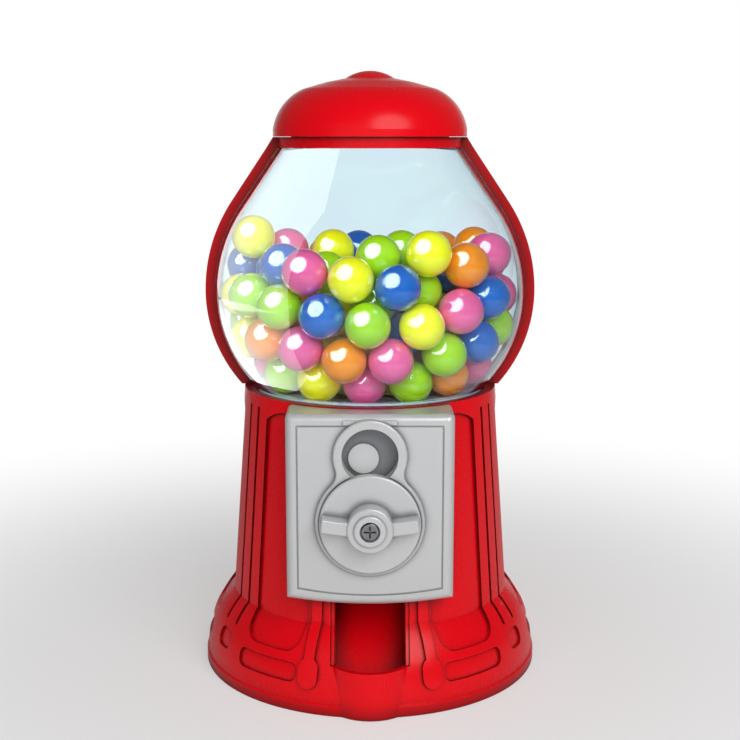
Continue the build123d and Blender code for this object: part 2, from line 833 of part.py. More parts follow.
def make_lever_knob():
    disc = rod(lever_radius, lever_front, lever_back, 0, lever_height)
    disc = fillet(rims_at(disc, lever_front), lever_edge_round)
    reach = lever_radius
    low = lever_height - grip_half_height
    high = lever_height + grip_half_height
    outline = face(
        ThreePointArc((-reach, high + grip_end_lift), (0, high), (reach, high + grip_end_lift)),
        Line((reach, high + grip_end_lift), (reach, low + grip_end_lift)),
        ThreePointArc((reach, low + grip_end_lift), (0, low), (-reach, low + grip_end_lift)),
        Line((-reach, low + grip_end_lift), (-reach, high + grip_end_lift)),
    )
    grip = push(outline, lever_front + grip_rise, lever_front - lever_thickness / 2)
    grip &= rod(lever_radius - lever_edge_round, lever_front + grip_rise, lever_back, 0, lever_height)
    grip = fillet(rims_at(grip, lever_front + grip_rise), grip_edge_round)
    hub = rod(hub_radius, hub_front, lever_back, 0, lever_height)
    hub = fillet(rims_at(hub, hub_front), hub_edge_round)
    ring = rod(hub_ring_radius, lever_front + hub_ring_rise, lever_back, 0, lever_height)
    ring = fillet(rims_at(ring, lever_front + hub_ring_rise), hub_edge_round)
    knob = disc + grip + ring + hub
    knob -= rod(hub_recess_radius, hub_front + overrun, hub_front - hub_recess_depth, 0, lever_height)
    knob -= rod(shaft_radius + running_gap, shaft_front + running_gap, lever_back - overrun, 0, lever_height)
    return knob - rod(
        lever_screw_radius + running_gap, hub_front + overrun, lever_back - overrun, 0, lever_height
    )


def make_lever_screw():
    seat = hub_front - hub_recess_depth + running_gap
    screw = rod(lever_screw_radius, seat, seat - lever_screw_length, 0, lever_height)
    head = rod(lever_screw_head, seat + lever_screw_head_height, seat, 0, lever_height)
    front = seat + lever_screw_head_height
    head = fillet(rims_at(head, front), lever_screw_head_height / 2)
    arm = lever_screw_head * 2 / 3
    half = driver_slot_width / 2
    for wide, high in ((arm, half), (half, arm)):
        head -= block(
            -wide, wide, -front - overrun, -front + driver_slot_depth, lever_height - high,
            lever_height + high,
        )
    return screw + head


click_front = wheel_back - wheel_side_gap - plate_thickness - rear_gap - bush_flange_thickness
click_back = click_front - click_wheel_thickness
clip_front = click_back - rear_gap
clip_back = clip_front - clip_thickness


def make_lever_shaft():
    shaft = rod(shaft_radius, shaft_front, shaft_back - clip_thickness, 0, lever_height)
    bore_back = hub_front - hub_recess_depth - lever_screw_length - rear_gap
    shaft -= rod(
        lever_screw_radius + running_gap, shaft_front + overrun, bore_back, 0, lever_height
    )
    front = clip_front + running_gap
    back = clip_back - running_gap
    groove = rod(shaft_radius + overrun, front, back, 0, lever_height)
    groove -= rod(shaft_radius - clip_groove_depth, front + overrun, back - overrun, 0, lever_height)
    return shaft - groove


def make_shaft_clip():
    clip = rod(clip_radius, clip_front, clip_back, 0, lever_height)
    bore = shaft_radius - clip_groove_depth + running_gap
    clip -= rod(bore, clip_front + overrun, clip_back - overrun, 0, lever_height)
    mouth = block(
        -clip_mouth / 2, clip_mouth / 2, -clip_front - overrun, -clip_back + overrun,
        lever_height - clip_radius - overrun, lever_height,
    )
    return clip - mouth


carrier_front = panel_inner_front - bush_flange - fit_gap
carrier_back = carrier_front - carrier_thickness


def make_coin_carrier():
    carrier = rod(carrier_radius, carrier_front, carrier_back, 0, lever_height)
    carrier += rod(carrier_hub_radius, carrier_back, carrier_back - carrier_hub_length, 0, lever_height)
    front = carrier_front + overrun
    carrier -= rod(pocket_radius + notch_clearance, front, carrier_back - overrun, 0, pocket_height)
    back = carrier_back - carrier_hub_length - overrun
    return carrier - rod(shaft_radius + running_gap, front, back, 0, lever_height)


coin_stop_front = carrier_back - fit_gap * 2


def make_coin_stop():
    disc_front = coin_stop_front - coin_stop_rise
    disc_back = disc_front - coin_stop_thickness
    stop = rod(coin_stop_radius, disc_front, disc_back, 0, pocket_height)
    button_height = pocket_height - coin_button_shift
    stop += rod(coin_button_radius, coin_stop_front, disc_front, -coin_button_shift, button_height)
    post_height = pocket_height - coin_post_drop
    stop += rod(coin_post_radius, disc_back, plate_front + running_gap, 0, post_height)
    return stop + rod(coin_pin_radius, plate_front + overrun, plate_front - coin_pin_length, 0, post_height)


def make_coin_ramp():
    """Shelf on the frame's plate, under the shaft, that rolls a coin to the side of the trough."""
    high = lever_height - ramp_drop
    low = high - ramp_fall
    outline = face(
        Line((ramp_inner, high), (ramp_outer, low)),
        Line((ramp_outer, low), (ramp_outer, low - ramp_thickness)),
        Line((ramp_outer, low - ramp_thickness), (ramp_inner, high - ramp_thickness)),
        Line((ramp_inner, high - ramp_thickness), (ramp_inner, high)),
    )
    shelf = push(outline, foot_radius, plate_front + running_gap)
    return shelf & body_form(body_wall + fit_gap, 0, collar_height)


def make_gum_wheel():
    wheel = rod(wheel_radius, wheel_front, wheel_back, 0, lever_height)
    wheel -= rod(shaft_radius + running_gap, wheel_front + overrun, wheel_back - overrun, 0, lever_height)
    pocket = drum(
        ball_radius + ball_room, lever_height + wheel_hub_floor, lever_height + wheel_radius + overrun, 0,
        -wheel_centre_back,
    )
    return wheel - pocket


throat_radius = ball_radius + ball_room + fit_gap * 2
frame_bore = wheel_radius + wheel_rim_gap


def frame_plate():
    middle = (plate_low + plate_high) / 2
    height = plate_high - plate_low
    return Pos(0, middle) * RectangleRounded(2 * plate_half_width, height, plate_corner)


def make_mechanism_frame():
    ring_radius = frame_bore + cradle_wall
    frame = rod(ring_radius, plate_back + plate_thickness / 2, wheel_back - wheel_side_gap, 0, lever_height)
    frame += push(frame_plate(), plate_front, plate_back)
    rear = wheel_back - wheel_side_gap
    frame += rod(ring_radius, rear, rear - plate_thickness, 0, lever_height)
    frame -= rod(frame_bore, plate_back, rear, 0, lever_height)
    way = throat_radius + cradle_wall / 4
    reach = ring_radius + overrun
    frame -= block(-way, way, -plate_back, -rear, lever_height, lever_height + reach)
    frame -= block(-way, way, -plate_back, -rear, lever_height - reach, lever_height)
    frame -= drum(
        throat_radius + hopper_wall + fit_gap * 2, hopper_throat_low - fit_gap * 2, collar_height, 0,
        -wheel_centre_back,
    )
    top_cut = hopper_throat_floor - hopper_wall - overrun
    frame -= block(-foot_radius, foot_radius, -foot_radius, foot_radius, top_cut, collar_height + overrun)
    frame -= block(-slot_half_width, slot_half_width, -foot_radius, 0, 0, trough_top + fit_gap)
    frame -= rod(carrier_hub_radius, plate_front + overrun, plate_back - overrun, 0, lever_height)
    frame -= rod(bush_outer + running_gap, rear + overrun, rear - plate_thickness - overrun, 0, lever_height)
    pin_height = pocket_height - coin_post_drop
    pin_bore = coin_pin_radius + running_gap
    frame -= rod(pin_bore, plate_front + overrun, plate_back - overrun, 0, pin_height)
    for x, z in post_places:
        frame -= rod(screw_hole_radius, plate_front + overrun, plate_back - overrun, x, z)
    block_front = rear - plate_thickness
    pin_x = click_block_across
    pin_z = lever_height - click_block_drop
    frame += push(
        Pos(pin_x, pin_z) * Rectangle(click_block / 2, click_block), block_front + plate_thickness / 2,
        click_back,
    )
    return frame


def make_rear_bush():
    front = wheel_back - wheel_side_gap - running_gap
    back = front - plate_thickness - rear_gap / 4
    bush = rod(bush_outer, front, back, 0, lever_height)
    bush += rod(bush_outer + bush_flange, back, back - bush_flange_thickness / 2, 0, lever_height)
    return bush - rod(shaft_radius + running_gap, front + overrun, back - overrun, 0, lever_height)


def make_click_wheel():
    points = []
    for index in range(click_tooth_count):
        base = 2 * math.pi * index / click_tooth_count
        step = 2 * math.pi / click_tooth_count
        root = click_wheel_radius - click_tooth_depth
        points.append((root * math.sin(base), root * math.cos(base)))
        crest = base + step * click_crest_share
        points.append((click_wheel_radius * math.sin(crest), click_wheel_radius * math.cos(crest)))
    outline = Pos(0, lever_height) * make_face(Polyline(*points, close=True))
    wheel = push(outline, click_front, click_back)
    bore = shaft_radius + running_gap
    return wheel - rod(bore, click_front + overrun, click_back - overrun, 0, lever_height)


def make_click_spring():
    """Bent leaf, clamped on the frame's block, its nose lifted just clear of the teeth."""
    inner = click_block_across - click_block / 4 - running_gap
    outer = inner - click_leaf_thickness
    low = lever_height - click_block_drop - click_block / 2
    nose = click_wheel_radius + click_gap
    top = lever_height + nose / 3
    bend = lever_height - nose / 2
    points = [
        (inner, low),
        (inner, low + click_block),
        (nose + click_leaf_thickness * 2, bend + nose / 4),
        (nose + click_leaf_thickness, lever_height),
        (nose + click_leaf_thickness * 2, top),
        (nose + click_leaf_thickness, top),
        (nose, lever_height),
        (nose + click_leaf_thickness, bend),
        (outer, low + click_block - click_leaf_thickness),
        (outer, low),
    ]
    outline = make_face(Polyline(*points, close=True))
    middle = (click_front + click_back) / 2
    return push(outline, middle + click_leaf_width / 2, middle - click_leaf_width / 2)


def make_mechanism_screws():
    screws = []
    for x, z in post_places:
        screws.append(
            screw_along_y(
                plate_front + screw_grip + body_wall, plate_back - running_gap, pilot_radius - running_gap,
                screw_head_radius, screw_head_height, x, z,
            )
        )
    return Compound(screws)


def trough_run():
    """Ball's way seen from the side: back, slope and lip, open above and in front."""
    far = foot_radius + overrun
    return make_face(
        Polyline(
            (-trough_back, trough_top + overrun),
            (-trough_back, trough_bend_height),
            (-trough_lip_front, cup_floor_height + trough_wall + fit_gap),
            (-far, cup_floor_height + trough_wall + fit_gap),
            (-far, trough_top + overrun),
            close=True,
        )
    )


def make_ball_chute():
    half = slot_half_width - fit_gap
    run = trough_run()
    hull = offset(run, trough_wall, kind=Kind.INTERSECTION)
    outer = Pos(-half, 0, 0) * extrude(Plane.YZ * hull, amount=2 * half)
    inner_half = half - trough_wall
    inner = Pos(-inner_half, 0, 0) * extrude(Plane.YZ * run, amount=2 * inner_half)
    limit = block(-half, half, -trough_lip_end, 0, cup_floor_height + fit_gap, trough_top)
    limit += block(-half, half, -foot_radius, 0, cup_height + fit_gap, trough_top)
    limit &= body_form(trough_front_inset, 0, trough_top, rim=False)
    return (outer & limit) - inner


hopper_rim_radius = spigot_radius - globe_wall - fit_gap
hopper_tan = math.tan(math.radians(hopper_slope))


def hopper_cone(drop, low, high):
    """Solid above the sloping floor, lowered by a drop."""
    reach = hopper_rim_radius + wheel_centre_back + overrun
    rise = (reach - throat_radius) * hopper_tan
    floor = hopper_throat_floor - drop
    points = [
        (0, floor), (throat_radius, floor), (reach, floor + rise), (reach, high), (0, high),
    ]
    return Pos(0, -wheel_centre_back, 0) * spin(*points)


def make_hopper():
    rim_top = collar_height + hopper_rim_height
    body = drum(hopper_rim_radius, hopper_throat_floor - hopper_wall, rim_top)
    upper = hopper_cone(0, 0, rim_top + overrun)
    lower = hopper_cone(hopper_wall, 0, rim_top + overrun)
    floor = (body & lower) - upper
    wall = tube(hopper_rim_radius, hopper_rim_radius - hopper_wall, ledge_top + fit_gap, rim_top)
    flange = tube(
        spigot_radius, hopper_rim_radius - hopper_wall, ledge_top + fit_gap, hopper_flange_top
    )
    throat = drum(
        throat_radius + hopper_wall, hopper_throat_low, hopper_throat_floor, 0, -wheel_centre_back
    )
    hopper = floor + wall + flange + throat
    return hopper - drum(throat_radius, 0, rim_top, 0, -wheel_centre_back)


def ball_limits(places):
    """Move ball centres inside the globe's wall and above the hopper's floor."""
    margin = globe_wall + ball_radius + ball_gap
    rise = places[:, 2] - globe_waist_height
    out = np.hypot(places[:, 0], places[:, 1])
    upper = rise > 0
    centre = np.where(upper, shoulder_centre, bowl_centre)
    limit = np.where(upper, shoulder_arc_radius, bowl_arc_radius) - margin
    reach = np.hypot(out - centre, rise)
    outside = (reach > limit) & (out > centre)
    factor = np.where(outside, limit / np.maximum(reach, limit / 4), 1.0)
    new_out = np.where(outside, centre + (out - centre) * factor, out)
    new_rise = np.where(outside, rise * factor, rise)
    scale = np.where(out > 0, new_out / np.maximum(out, ball_gap), 1.0)
    places[:, 0] *= scale
    places[:, 1] *= scale
    places[:, 2] = globe_waist_height + new_rise
    away = np.hypot(places[:, 0], places[:, 1] + wheel_centre_back)
    floor = hopper_throat_floor + np.maximum(away - throat_radius, 0) * hopper_tan
    floor += (ball_radius + ball_gap) / math.cos(math.radians(hopper_slope))
    places[:, 2] = np.maximum(places[:, 2], floor)
    reach = ball_radius + ball_gap
    above = np.clip(places[:, 2] - collar_height - hopper_rim_height, 0, reach)
    rim = hopper_rim_radius - hopper_wall - np.sqrt(reach**2 - above**2)
    out = np.hypot(places[:, 0], places[:, 1])
    shrink = np.where(above < reach, np.minimum(rim / np.maximum(out, ball_gap), 1.0), 1.0)
    places[:, 0] *= shrink
    places[:, 1] *= shrink


def part_balls(places, pitch):
    """Push overlapping balls apart, and return the deepest overlap."""
    gaps = places[:, None, :] - places[None, :, :]
    apart = np.sqrt((gaps**2).sum(axis=2))
    np.fill_diagonal(apart, 2 * pitch)
    short = np.maximum(pitch - apart, 0)
    push_each = (gaps / apart[:, :, None] * (short / 2)[:, :, None]).sum(axis=1)
    touching = np.maximum((short > 0).sum(axis=1), 1)
    places += push_each / np.sqrt(touching)[:, None]
    return short.max()


def settle_balls():
    """Drop the balls into the globe and let them settle, the same way each time."""
    pitch = 2 * ball_radius + ball_gap
    draw = np.random.default_rng(11)
    places = np.zeros((ball_total, 3))
    reach = globe_radius - globe_wall - ball_radius
    for index in range(ball_total):
        if index < len(front_ball_shares):
            across, up, colour = front_ball_shares[index]
            x = across * globe_radius
            places[index] = (x, -math.sqrt(max(reach**2 - x**2, 0)), globe_waist_height + up * globe_radius)
            continue
        angle = draw.uniform(0, 2 * math.pi)
        out = reach * math.sqrt(draw.uniform(0, 1))
        height = draw.uniform(ball_start_low_share, ball_start_high_share)
        low = hopper_throat_floor + ball_radius
        x = out * math.sin(angle)
        y = abs(out * math.cos(angle)) - reach / 2
        places[index] = (x, y, low + height * (neck_height - low))
    for turn in range(settle_rounds):
        share = 1 - turn / settle_rounds
        places[:, 2] -= settle_drop_share * ball_radius * share
        for repeat in range(3):
            part_balls(places, pitch)
            ball_limits(places)
    for repeat in range(2 * settle_rounds):
        deepest = part_balls(places, pitch)
        ball_limits(places)
        if deepest < ball_gap / 3:
            break
    print("balls settled: deepest overlap of the spaced balls", round(float(deepest), 3))
    return places


def make_gumballs():
    groups = {colour: [] for colour in ball_colours}
    for index, place in enumerate(settle_balls()):
        if index < len(front_ball_shares):
            colour = front_ball_shares[index][2]
        else:
            colour = ball_colours[index % len(ball_colours)]
        groups[colour].append(Pos(float(place[0]), float(place[1]), float(place[2])) * Sphere(ball_radius))
    return {colour: Compound(balls) for colour, balls in groups.items()}


plate_radius = foot_arc_start - body_wall - plate_floor_gap
plug_hole = plug_radius + plug_gap
plug_neck = plug_neck_radius - plug_gap


def wedge(radius, half_angle, low, high, angle):
    reach = radius * 2
    rise = reach * math.tan(math.radians(half_angle))
    outline = make_face(Polyline((0, 0), (reach, -rise), (reach, rise), close=True))
    solid = Pos(0, 0, low) * extrude(outline, amount=high - low)
    return turned(solid & drum(radius, low, high), angle)


def make_base_plate():
    plate = drum(plate_radius, 0, plate_floor_thickness)
    for x, y in base_screw_places:
        plate -= drum(screw_hole_radius, -overrun, plate_floor_thickness + overrun, x, y)
        plate -= drum(screw_head_radius + fit_gap, -overrun, screw_head_height, x, y)
    split = plug_recess + plug_thickness / 2
    hole = drum(plug_hole, -overrun, split)
    hole += drum(plug_neck_radius, 0, plate_floor_thickness + overrun)
    lug_reach = plug_neck_radius + plug_lug_reach
    for side in (0, 180):
        hole += wedge(
            lug_reach, plug_notch_half_angle, 0, plate_floor_thickness + overrun, side + plug_turn
        )
    return plate - Pos(0, plug_back, 0) * hole


def make_bank_plug():
    split = plug_recess + plug_thickness / 2 - plug_lug_gap / 2
    plug = drum(plug_radius, plug_recess, split)
    lug_low = plate_floor_thickness + plug_lug_gap
    plug += drum(plug_neck, plug_recess, lug_low + plug_lug_thickness)
    lug_reach = plug_neck_radius + plug_lug_reach - plug_gap
    for side in (0, 180):
        plug += wedge(lug_reach, plug_lug_half_angle, lug_low, lug_low + plug_lug_thickness, side)
    grip = Rectangle(2 * plug_grip_half_length, 2 * plug_grip_half_width)
    grip_recess = Circle(plug_grip_half_length) - grip
    plug -= Pos(0, 0, plug_recess) * extrude(grip_recess, amount=plug_grip_depth)
    return Pos(0, plug_back, 0) * plug


def make_base_screws():
    screws = []
    seat = screw_head_height - running_gap
    low = screw_head_height / 4
    arm = screw_head_radius * 2 / 3
    half = driver_slot_width / 2
    for x, y in base_screw_places:
        screw = drum(screw_head_radius, low, seat, x, y)
        screw += drum(pilot_radius - running_gap, low, seat + base_screw_length, x, y)
        for wide, deep in ((arm, half), (half, arm)):
            screw -= block(x - wide, x + wide, y - deep, y + deep, low - overrun, low + driver_slot_depth)
        screws.append(screw)
    return Compound(screws)


def main():
    os.makedirs("parts", exist_ok=True)
    globe_front, globe_rear = make_globe()
    gumballs = make_gumballs()
    pieces = {
        "body_shell": make_body_shell(),
        "base_plate": make_base_plate(),
        "base_screws": make_base_screws(),
        "bank_plug": make_bank_plug(),
        "globe_front": globe_front,
        "globe_rear": globe_rear,
        "globe_frame": make_globe_frame(),
        "hopper": make_hopper(),
        "lid": make_lid(),
        "lid_seal": make_lid_seal(),
        "front_panel": make_front_panel(),
        "front_bush": make_front_bush(),
        "rear_bush": make_rear_bush(),
        "lever_knob": make_lever_knob(),
        "lever_screw": make_lever_screw(),
        "lever_shaft": make_lever_shaft(),
        "shaft_clip": make_shaft_clip(),
        "coin_carrier": make_coin_carrier(),
        "coin_stop": make_coin_stop(),
        "coin_ramp": make_coin_ramp(),
        "gum_wheel": make_gum_wheel(),
        "mechanism_frame": make_mechanism_frame(),
        "mechanism_screws": make_mechanism_screws(),
        "click_wheel": make_click_wheel(),
        "click_spring": make_click_spring(),
        "ball_chute": make_ball_chute(),
    }
    for colour, balls in gumballs.items():
        pieces["gumballs_" + colour] = balls
    for name, shape in pieces.items():
        export_step(shape, "parts/" + name + ".step")


main()
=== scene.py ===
import math

import bmesh
import bpy
from bpy.props import FloatProperty, FloatVectorProperty, PointerProperty
from mathutils import Euler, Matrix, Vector


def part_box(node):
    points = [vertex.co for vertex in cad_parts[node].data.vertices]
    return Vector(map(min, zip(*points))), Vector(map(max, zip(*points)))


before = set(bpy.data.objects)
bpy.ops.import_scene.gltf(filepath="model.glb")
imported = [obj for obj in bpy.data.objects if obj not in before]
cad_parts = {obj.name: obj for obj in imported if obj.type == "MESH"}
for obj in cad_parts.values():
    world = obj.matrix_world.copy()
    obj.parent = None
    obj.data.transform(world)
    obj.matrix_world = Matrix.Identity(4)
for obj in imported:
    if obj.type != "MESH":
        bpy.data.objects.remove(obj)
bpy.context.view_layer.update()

bl_info = {
    "name": "Gumball machine looks",
    "version": (1, 0, 0),
    "blender": (4, 5, 0),
    "location": "View3D > Sidebar > Gumball machine",
    "description": "Finishes for a counter-top gumball machine, with its stage, lamps and camera",
    "category": "Object",
}

MM = 0.001
GLOBE = ("globe_front", "globe_rear")
GUMBALLS = [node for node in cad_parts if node.startswith("gumballs_")]

# The neck ring ends this far inside the lid's edge, and the hoop lies outside it
RING_INSET = 1.8 * MM

# Round button of the coin stop, and the shares of its radius between which its colour ends
BUTTON_RADIUS = 6.7 * MM
BUTTON_SHIFT = 2.8 * MM
BUTTON_RIM = (0.96, 1.02)

# What is seen from below
UNDERSIDE = ("base_plate", "base_screws", "bank_plug")

# Lamps that face the middle of the machine: places and sizes of their faces
MIDDLE = Vector((0, 0, 0.17))
KEY_PLACE = (0.42, -0.88, 0.72)
KEY_SIZE = (0.8, 0.8)
FILL_PLACE = (-0.3, -1.1, 0.4)
FILL_SIZE = (1.2, 0.8)
BACK_PLACE = (0.3, 1.2, 0.6)
BACK_SIZE = (1.2, 1.2)
GLOBE_LAMP_PLACE = (-0.3, -0.9, 0.7)
GLOBE_LAMP_SIZE = (0.8, 0.8)
FOOT_LAMP_PLACE = (0.3, -0.3, -0.8)
FOOT_LAMP_SIZE = (1.0, 1.0)
SPARKLE_PLACE = (-0.56, -0.74, 0.95)
SPARKLE_SIZE = (1.8, 1.8)

# Tall lamp beside the machine that the globe shines back, and the stretch over which it dims to the back
WINDOW_AWAY = 0.9
WINDOW_SIZE = (3.5, 2.2)
WINDOW_FRONT = 0.56
WINDOW_FADE = (0.1, 1.2)
WINDOW_FADE_SHARE = 0.7

# Lamp just above the floor that the globe's lower half shines back
PANE_SIZE = (0.95, 1.3)
PANE_INSET = 0.03
PANE_RISE = 3 * MM
PANE_TURN = math.radians(32)

# Faces of clear wall on the way of a sparkle, in to a gumball and out again, from dark to full light
FACES_PASSED = (2.5, 3.5)

# The floor's drop under the machine, its corners, and its tones with the size of their clouds
FLOOR_DROP = 0.2 * MM
FLOOR_SIDES = 96
FLOOR_TONES = ((0.87, 0.87, 0.875), (0.9, 0.9, 0.9))
FLOOR_CLOUD = 120 * MM
FLOOR_ROUGHNESS = 0.6

# How white the floor is close to the machine, and the share of its fade where that begins to rise
FLOOR_WHITE = 0.42
FLOOR_FADE_START = 0.2

# The foot's edge, inside which the floor has no white of its own
FOOT_EDGE = (76 * MM, 80 * MM)

# Gloss shows the white background only straight behind the machine and low: the part of a direction
# that points back, from no white to full, and the part that points up, from full white to none
BACKGROUND = (0.75, 1.0)
BACKGROUND_TOP = (0.1, 0.45)
WHITE = (1.0, 1.0, 1.0)

# Places of a colour Mix node's sockets
MIX_FACTOR = 0
MIX_FIRST = 6
MIX_SECOND = 7
MIX_RESULT = 2

# Light kept out of a crease, from its first painted shade to full painted shade
CREASE_SAMPLES = 8
CREASE_SHADE = (0.04, 0.5)

# Turn of the surface at an edge, from the first wear to full wear
EDGE_SAMPLES = 4
EDGE_TURN = (0.01, 0.16)

# Each finish has the sizes of its marks, the way its hair scratches run, and the part of a noise from
# which a mark begins to show to where it is full. In its shader, the number beside a mark is its share.

# Glossy moulding
GLOSS_ROUGHNESS = 0.26
GLOSS_CLOUD = 35 * MM
GLOSS_SPECK = 1.6 * MM
GLOSS_WAVE = 9 * MM
GLOSS_HAIR = 0.5 * MM
GLOSS_HAIR_STRETCH = (1.0, 1.0, 0.06)
GLOSS_HAIR_TURN = (0.4, 0.3, 0.0)
GLOSS_RUBBED = (0.35, 0.7)
GLOSS_SCRATCH = (0.66, 0.74)
GLOSS_SCRATCHED = (0.45, 0.7)

# A wide, weaker band of painted crease shade round the first: its reach and strength against the first's
WIDE_CREASE_REACH = 2.5
WIDE_CREASE_STRENGTH = 0.8

# Painted shade in the creases of the hoop, the panel and the lever is this much darker than the given
# shade colour
DARKER_CREASE = 0.3

# Silver lacquer
LACQUER_ROUGHNESS = 0.36
LACQUER_METAL = 0.3
LACQUER_CLOUD = 28 * MM
LACQUER_FLAKE = 0.28 * MM
LACQUER_SPECK = 1.2 * MM
LACQUER_WAVE = 7 * MM
LACQUER_RUBBED = (0.3, 0.65)

# Matt moulding
MATTE_CLOUD = 20 * MM
MATTE_PIT = 0.5 * MM

# Clear moulding
CLEAR_ROUGHNESS = 0.012
CLEAR_HAZE = 22 * MM
CLEAR_HAZED = (0.55, 0.8)
CLEAR_WAVE = 14 * MM
CLEAR_HAIR = 0.4 * MM
CLEAR_HAIR_STRETCH = (1.0, 0.5, 0.05)
CLEAR_HAIR_TURN = (0.5, 0.8, 0.3)
CLEAR_SCRATCH = (0.68, 0.75)
CLEAR_SCRATCHED = (0.5, 0.7)

# Sugar shell
SUGAR_ROUGHNESS = 0.13
SUGAR_CLOUD = 7 * MM
SUGAR_MOTTLED = (0.4, 0.8)
SUGAR_DULL = (0.5, 0.8)
SUGAR_SPECK = 0.9 * MM
SUGAR_SPECKLED = (0.6, 0.8)
SUGAR_DENT = 5 * MM
SUGAR_DENT_DEPTH = 0.04 * MM
SUGAR_LIGHT_DEPTH = 1.5 * MM

# Plated steel
STEEL = (0.62, 0.62, 0.64)
DARK_STEEL = (0.3, 0.3, 0.31)
STEEL_ROUGHNESS = 0.24
STEEL_LINE = 0.25 * MM
STEEL_LINE_STRETCH = (1.0, 0.1, 1.0)
STEEL_SPOT = 1.8 * MM
STEEL_SPOTTED = (0.5, 0.8)

# Rubber
RUBBER = (0.012, 0.012, 0.013)
RUBBER_DUST = (0.07, 0.07, 0.07)
RUBBER_ROUGHNESS = 0.62
RUBBER_BLOOM = 3 * MM
RUBBER_BLOOMED = (0.45, 0.8)
RUBBER_GRAIN = 0.4 * MM


def shade(red, green, blue):
    """Linear colour of a screen colour given as three numbers up to 255."""
    linear = []
    for value in (red, green, blue):
        share = value / 255
        linear.append(share / 12.92 if share <= 0.04045 else ((share + 0.055) / 1.055) ** 2.4)
    return tuple(linear)


def colour_value(name, description, default):
    """Setting that holds a colour."""
    return FloatVectorProperty(
        name=name, description=description, default=default, subtype="COLOR", size=3, min=0, max=1
    )


class PlasticColours(bpy.types.PropertyGroup):
    """Colours of the moulded pieces"""

    red: colour_value("Body red", "Red of the body and lid", shade(230, 0, 18))
    # Painted shade: the hoop is moulded with the neck ring in the same red, and the whole hoop is painted
    # darker to stand for the shade on it
    hoop_red: colour_value("Hoop red", "Darker red of the hoop round the globe", shade(200, 0, 14))
    # Painted shade: the red that creases are darkened towards
    deep_red: colour_value("Deep red", "Red in the creases", shade(120, 0, 4))
    silver: colour_value("Silver", "Lacquer of the front panel and lever", shade(203, 204, 205))
    # Painted shade of the lacquer in creases, and the coin stop's own grey
    silver_shade: colour_value("Silver shade", "Creased lacquer, and the coin stop", shade(134, 136, 140))
    clear: colour_value("Clear", "Tint of one wall of the globe", (0.85, 0.955, 1.0))
    white: colour_value("White", "Floor of the globe", shade(222, 232, 240))
    ivory: colour_value("Ivory", "Wheels and bushes of natural plastic", shade(222, 217, 200))
    grey: colour_value("Grey", "Frame of the mechanism", shade(128, 131, 135))
    black: colour_value("Black", "Base plate and bank plug", shade(38, 38, 41))


class GumColours(bpy.types.PropertyGroup):
    """Colours of the gumballs"""

    blue: colour_value("Blue", "Blue sugar shell", shade(0, 95, 182))
    pink: colour_value("Pink", "Pink sugar shell", shade(238, 92, 148))
    green: colour_value("Green", "Green sugar shell", shade(165, 212, 0))
    yellow: colour_value("Yellow", "Yellow sugar shell", shade(255, 241, 0))
    orange: colour_value("Orange", "Orange sugar shell", shade(250, 138, 0))


class SurfaceSizes(bpy.types.PropertyGroup):
    """Sizes of the marks on the pieces"""

    # Reach of the painted shade in creases
    crease: FloatProperty(
        name="Crease reach", description="How far shade gathers in from a crease", default=5 * MM,
        unit="LENGTH", min=0,
    )
    edge: FloatProperty(
        name="Edge wear", description="Width of the rubbed line along an edge", default=0.5 * MM,
        unit="LENGTH", min=0,
    )
    ripple: FloatProperty(
        name="Ripple", description="Depth of the slow ripple that moulding leaves", default=0.02 * MM,
        unit="LENGTH", min=0,
    )
    grain: FloatProperty(
        name="Grain", description="Depth of the fine grain", default=0.008 * MM, unit="LENGTH", min=0
    )


class StageSizes(bpy.types.PropertyGroup):
    """Camera, floor and brightness of the lamps"""

    camera_distance: FloatProperty(
        name="Camera distance", description="From the middle of the machine to the camera, level",
        default=0.6, unit="LENGTH", min=0.1,
    )
    camera_height: FloatProperty(
        name="Camera height", description="Height of the camera above the floor",
        default=0.25, unit="LENGTH",
    )
    camera_tilt: FloatProperty(
        name="Camera tilt", description="How far the camera looks down", default=math.radians(10.4),
        subtype="ANGLE",
    )
    lens: FloatProperty(
        name="Lens", description="Focal length that fills the picture",
        default=62.0, unit="CAMERA", min=1,
    )
    floor_radius: FloatProperty(
        name="Floor radius", description="Reach of the floor", default=6.0, unit="LENGTH", min=1
    )
    floor_fade: FloatProperty(
        name="Floor fade", description="Where the floor has turned as white as the background",
        default=0.5, unit="LENGTH", min=0.2,
    )
    key_level: FloatProperty(
        name="Key lamp", description="Brightness of the round lamp at the upper right",
        default=4.6, min=0,
    )
    fill_level: FloatProperty(
        name="Fill lamp", description="Brightness of the wide lamp in front", default=1.5, min=0
    )
    back_level: FloatProperty(
        name="Back lamp", description="Brightness of the wide lamp behind the machine",
        default=2.2, min=0,
    )
    foot_level: FloatProperty(
        name="Foot lamp", description="Brightness of the lamp that shows the underside",
        default=3.5, min=0,
    )
    globe_level: FloatProperty(
        name="Globe lamp", description="Brightness of the lamp that lights only the gumballs and hopper",
        default=4.2, min=0,
    )
    sparkle_level: FloatProperty(
        name="Sparkle lamp", description="Brightness of the round lamp that the gumballs shine back",
        default=14.0, min=0,
    )
    window_level: FloatProperty(
        name="Window lamps", description="Brightness of the lamps that the globe shines back",
        default=4.8, min=0,
    )
    sky: FloatProperty(
        name="Sky", description="Light that comes from all round", default=0.18, min=0, max=1
    )
    dark_side: FloatProperty(
        name="Dark side", description="Level of the room apart from the background, as gloss shows it",
        default=0.18, min=0, max=1,
    )


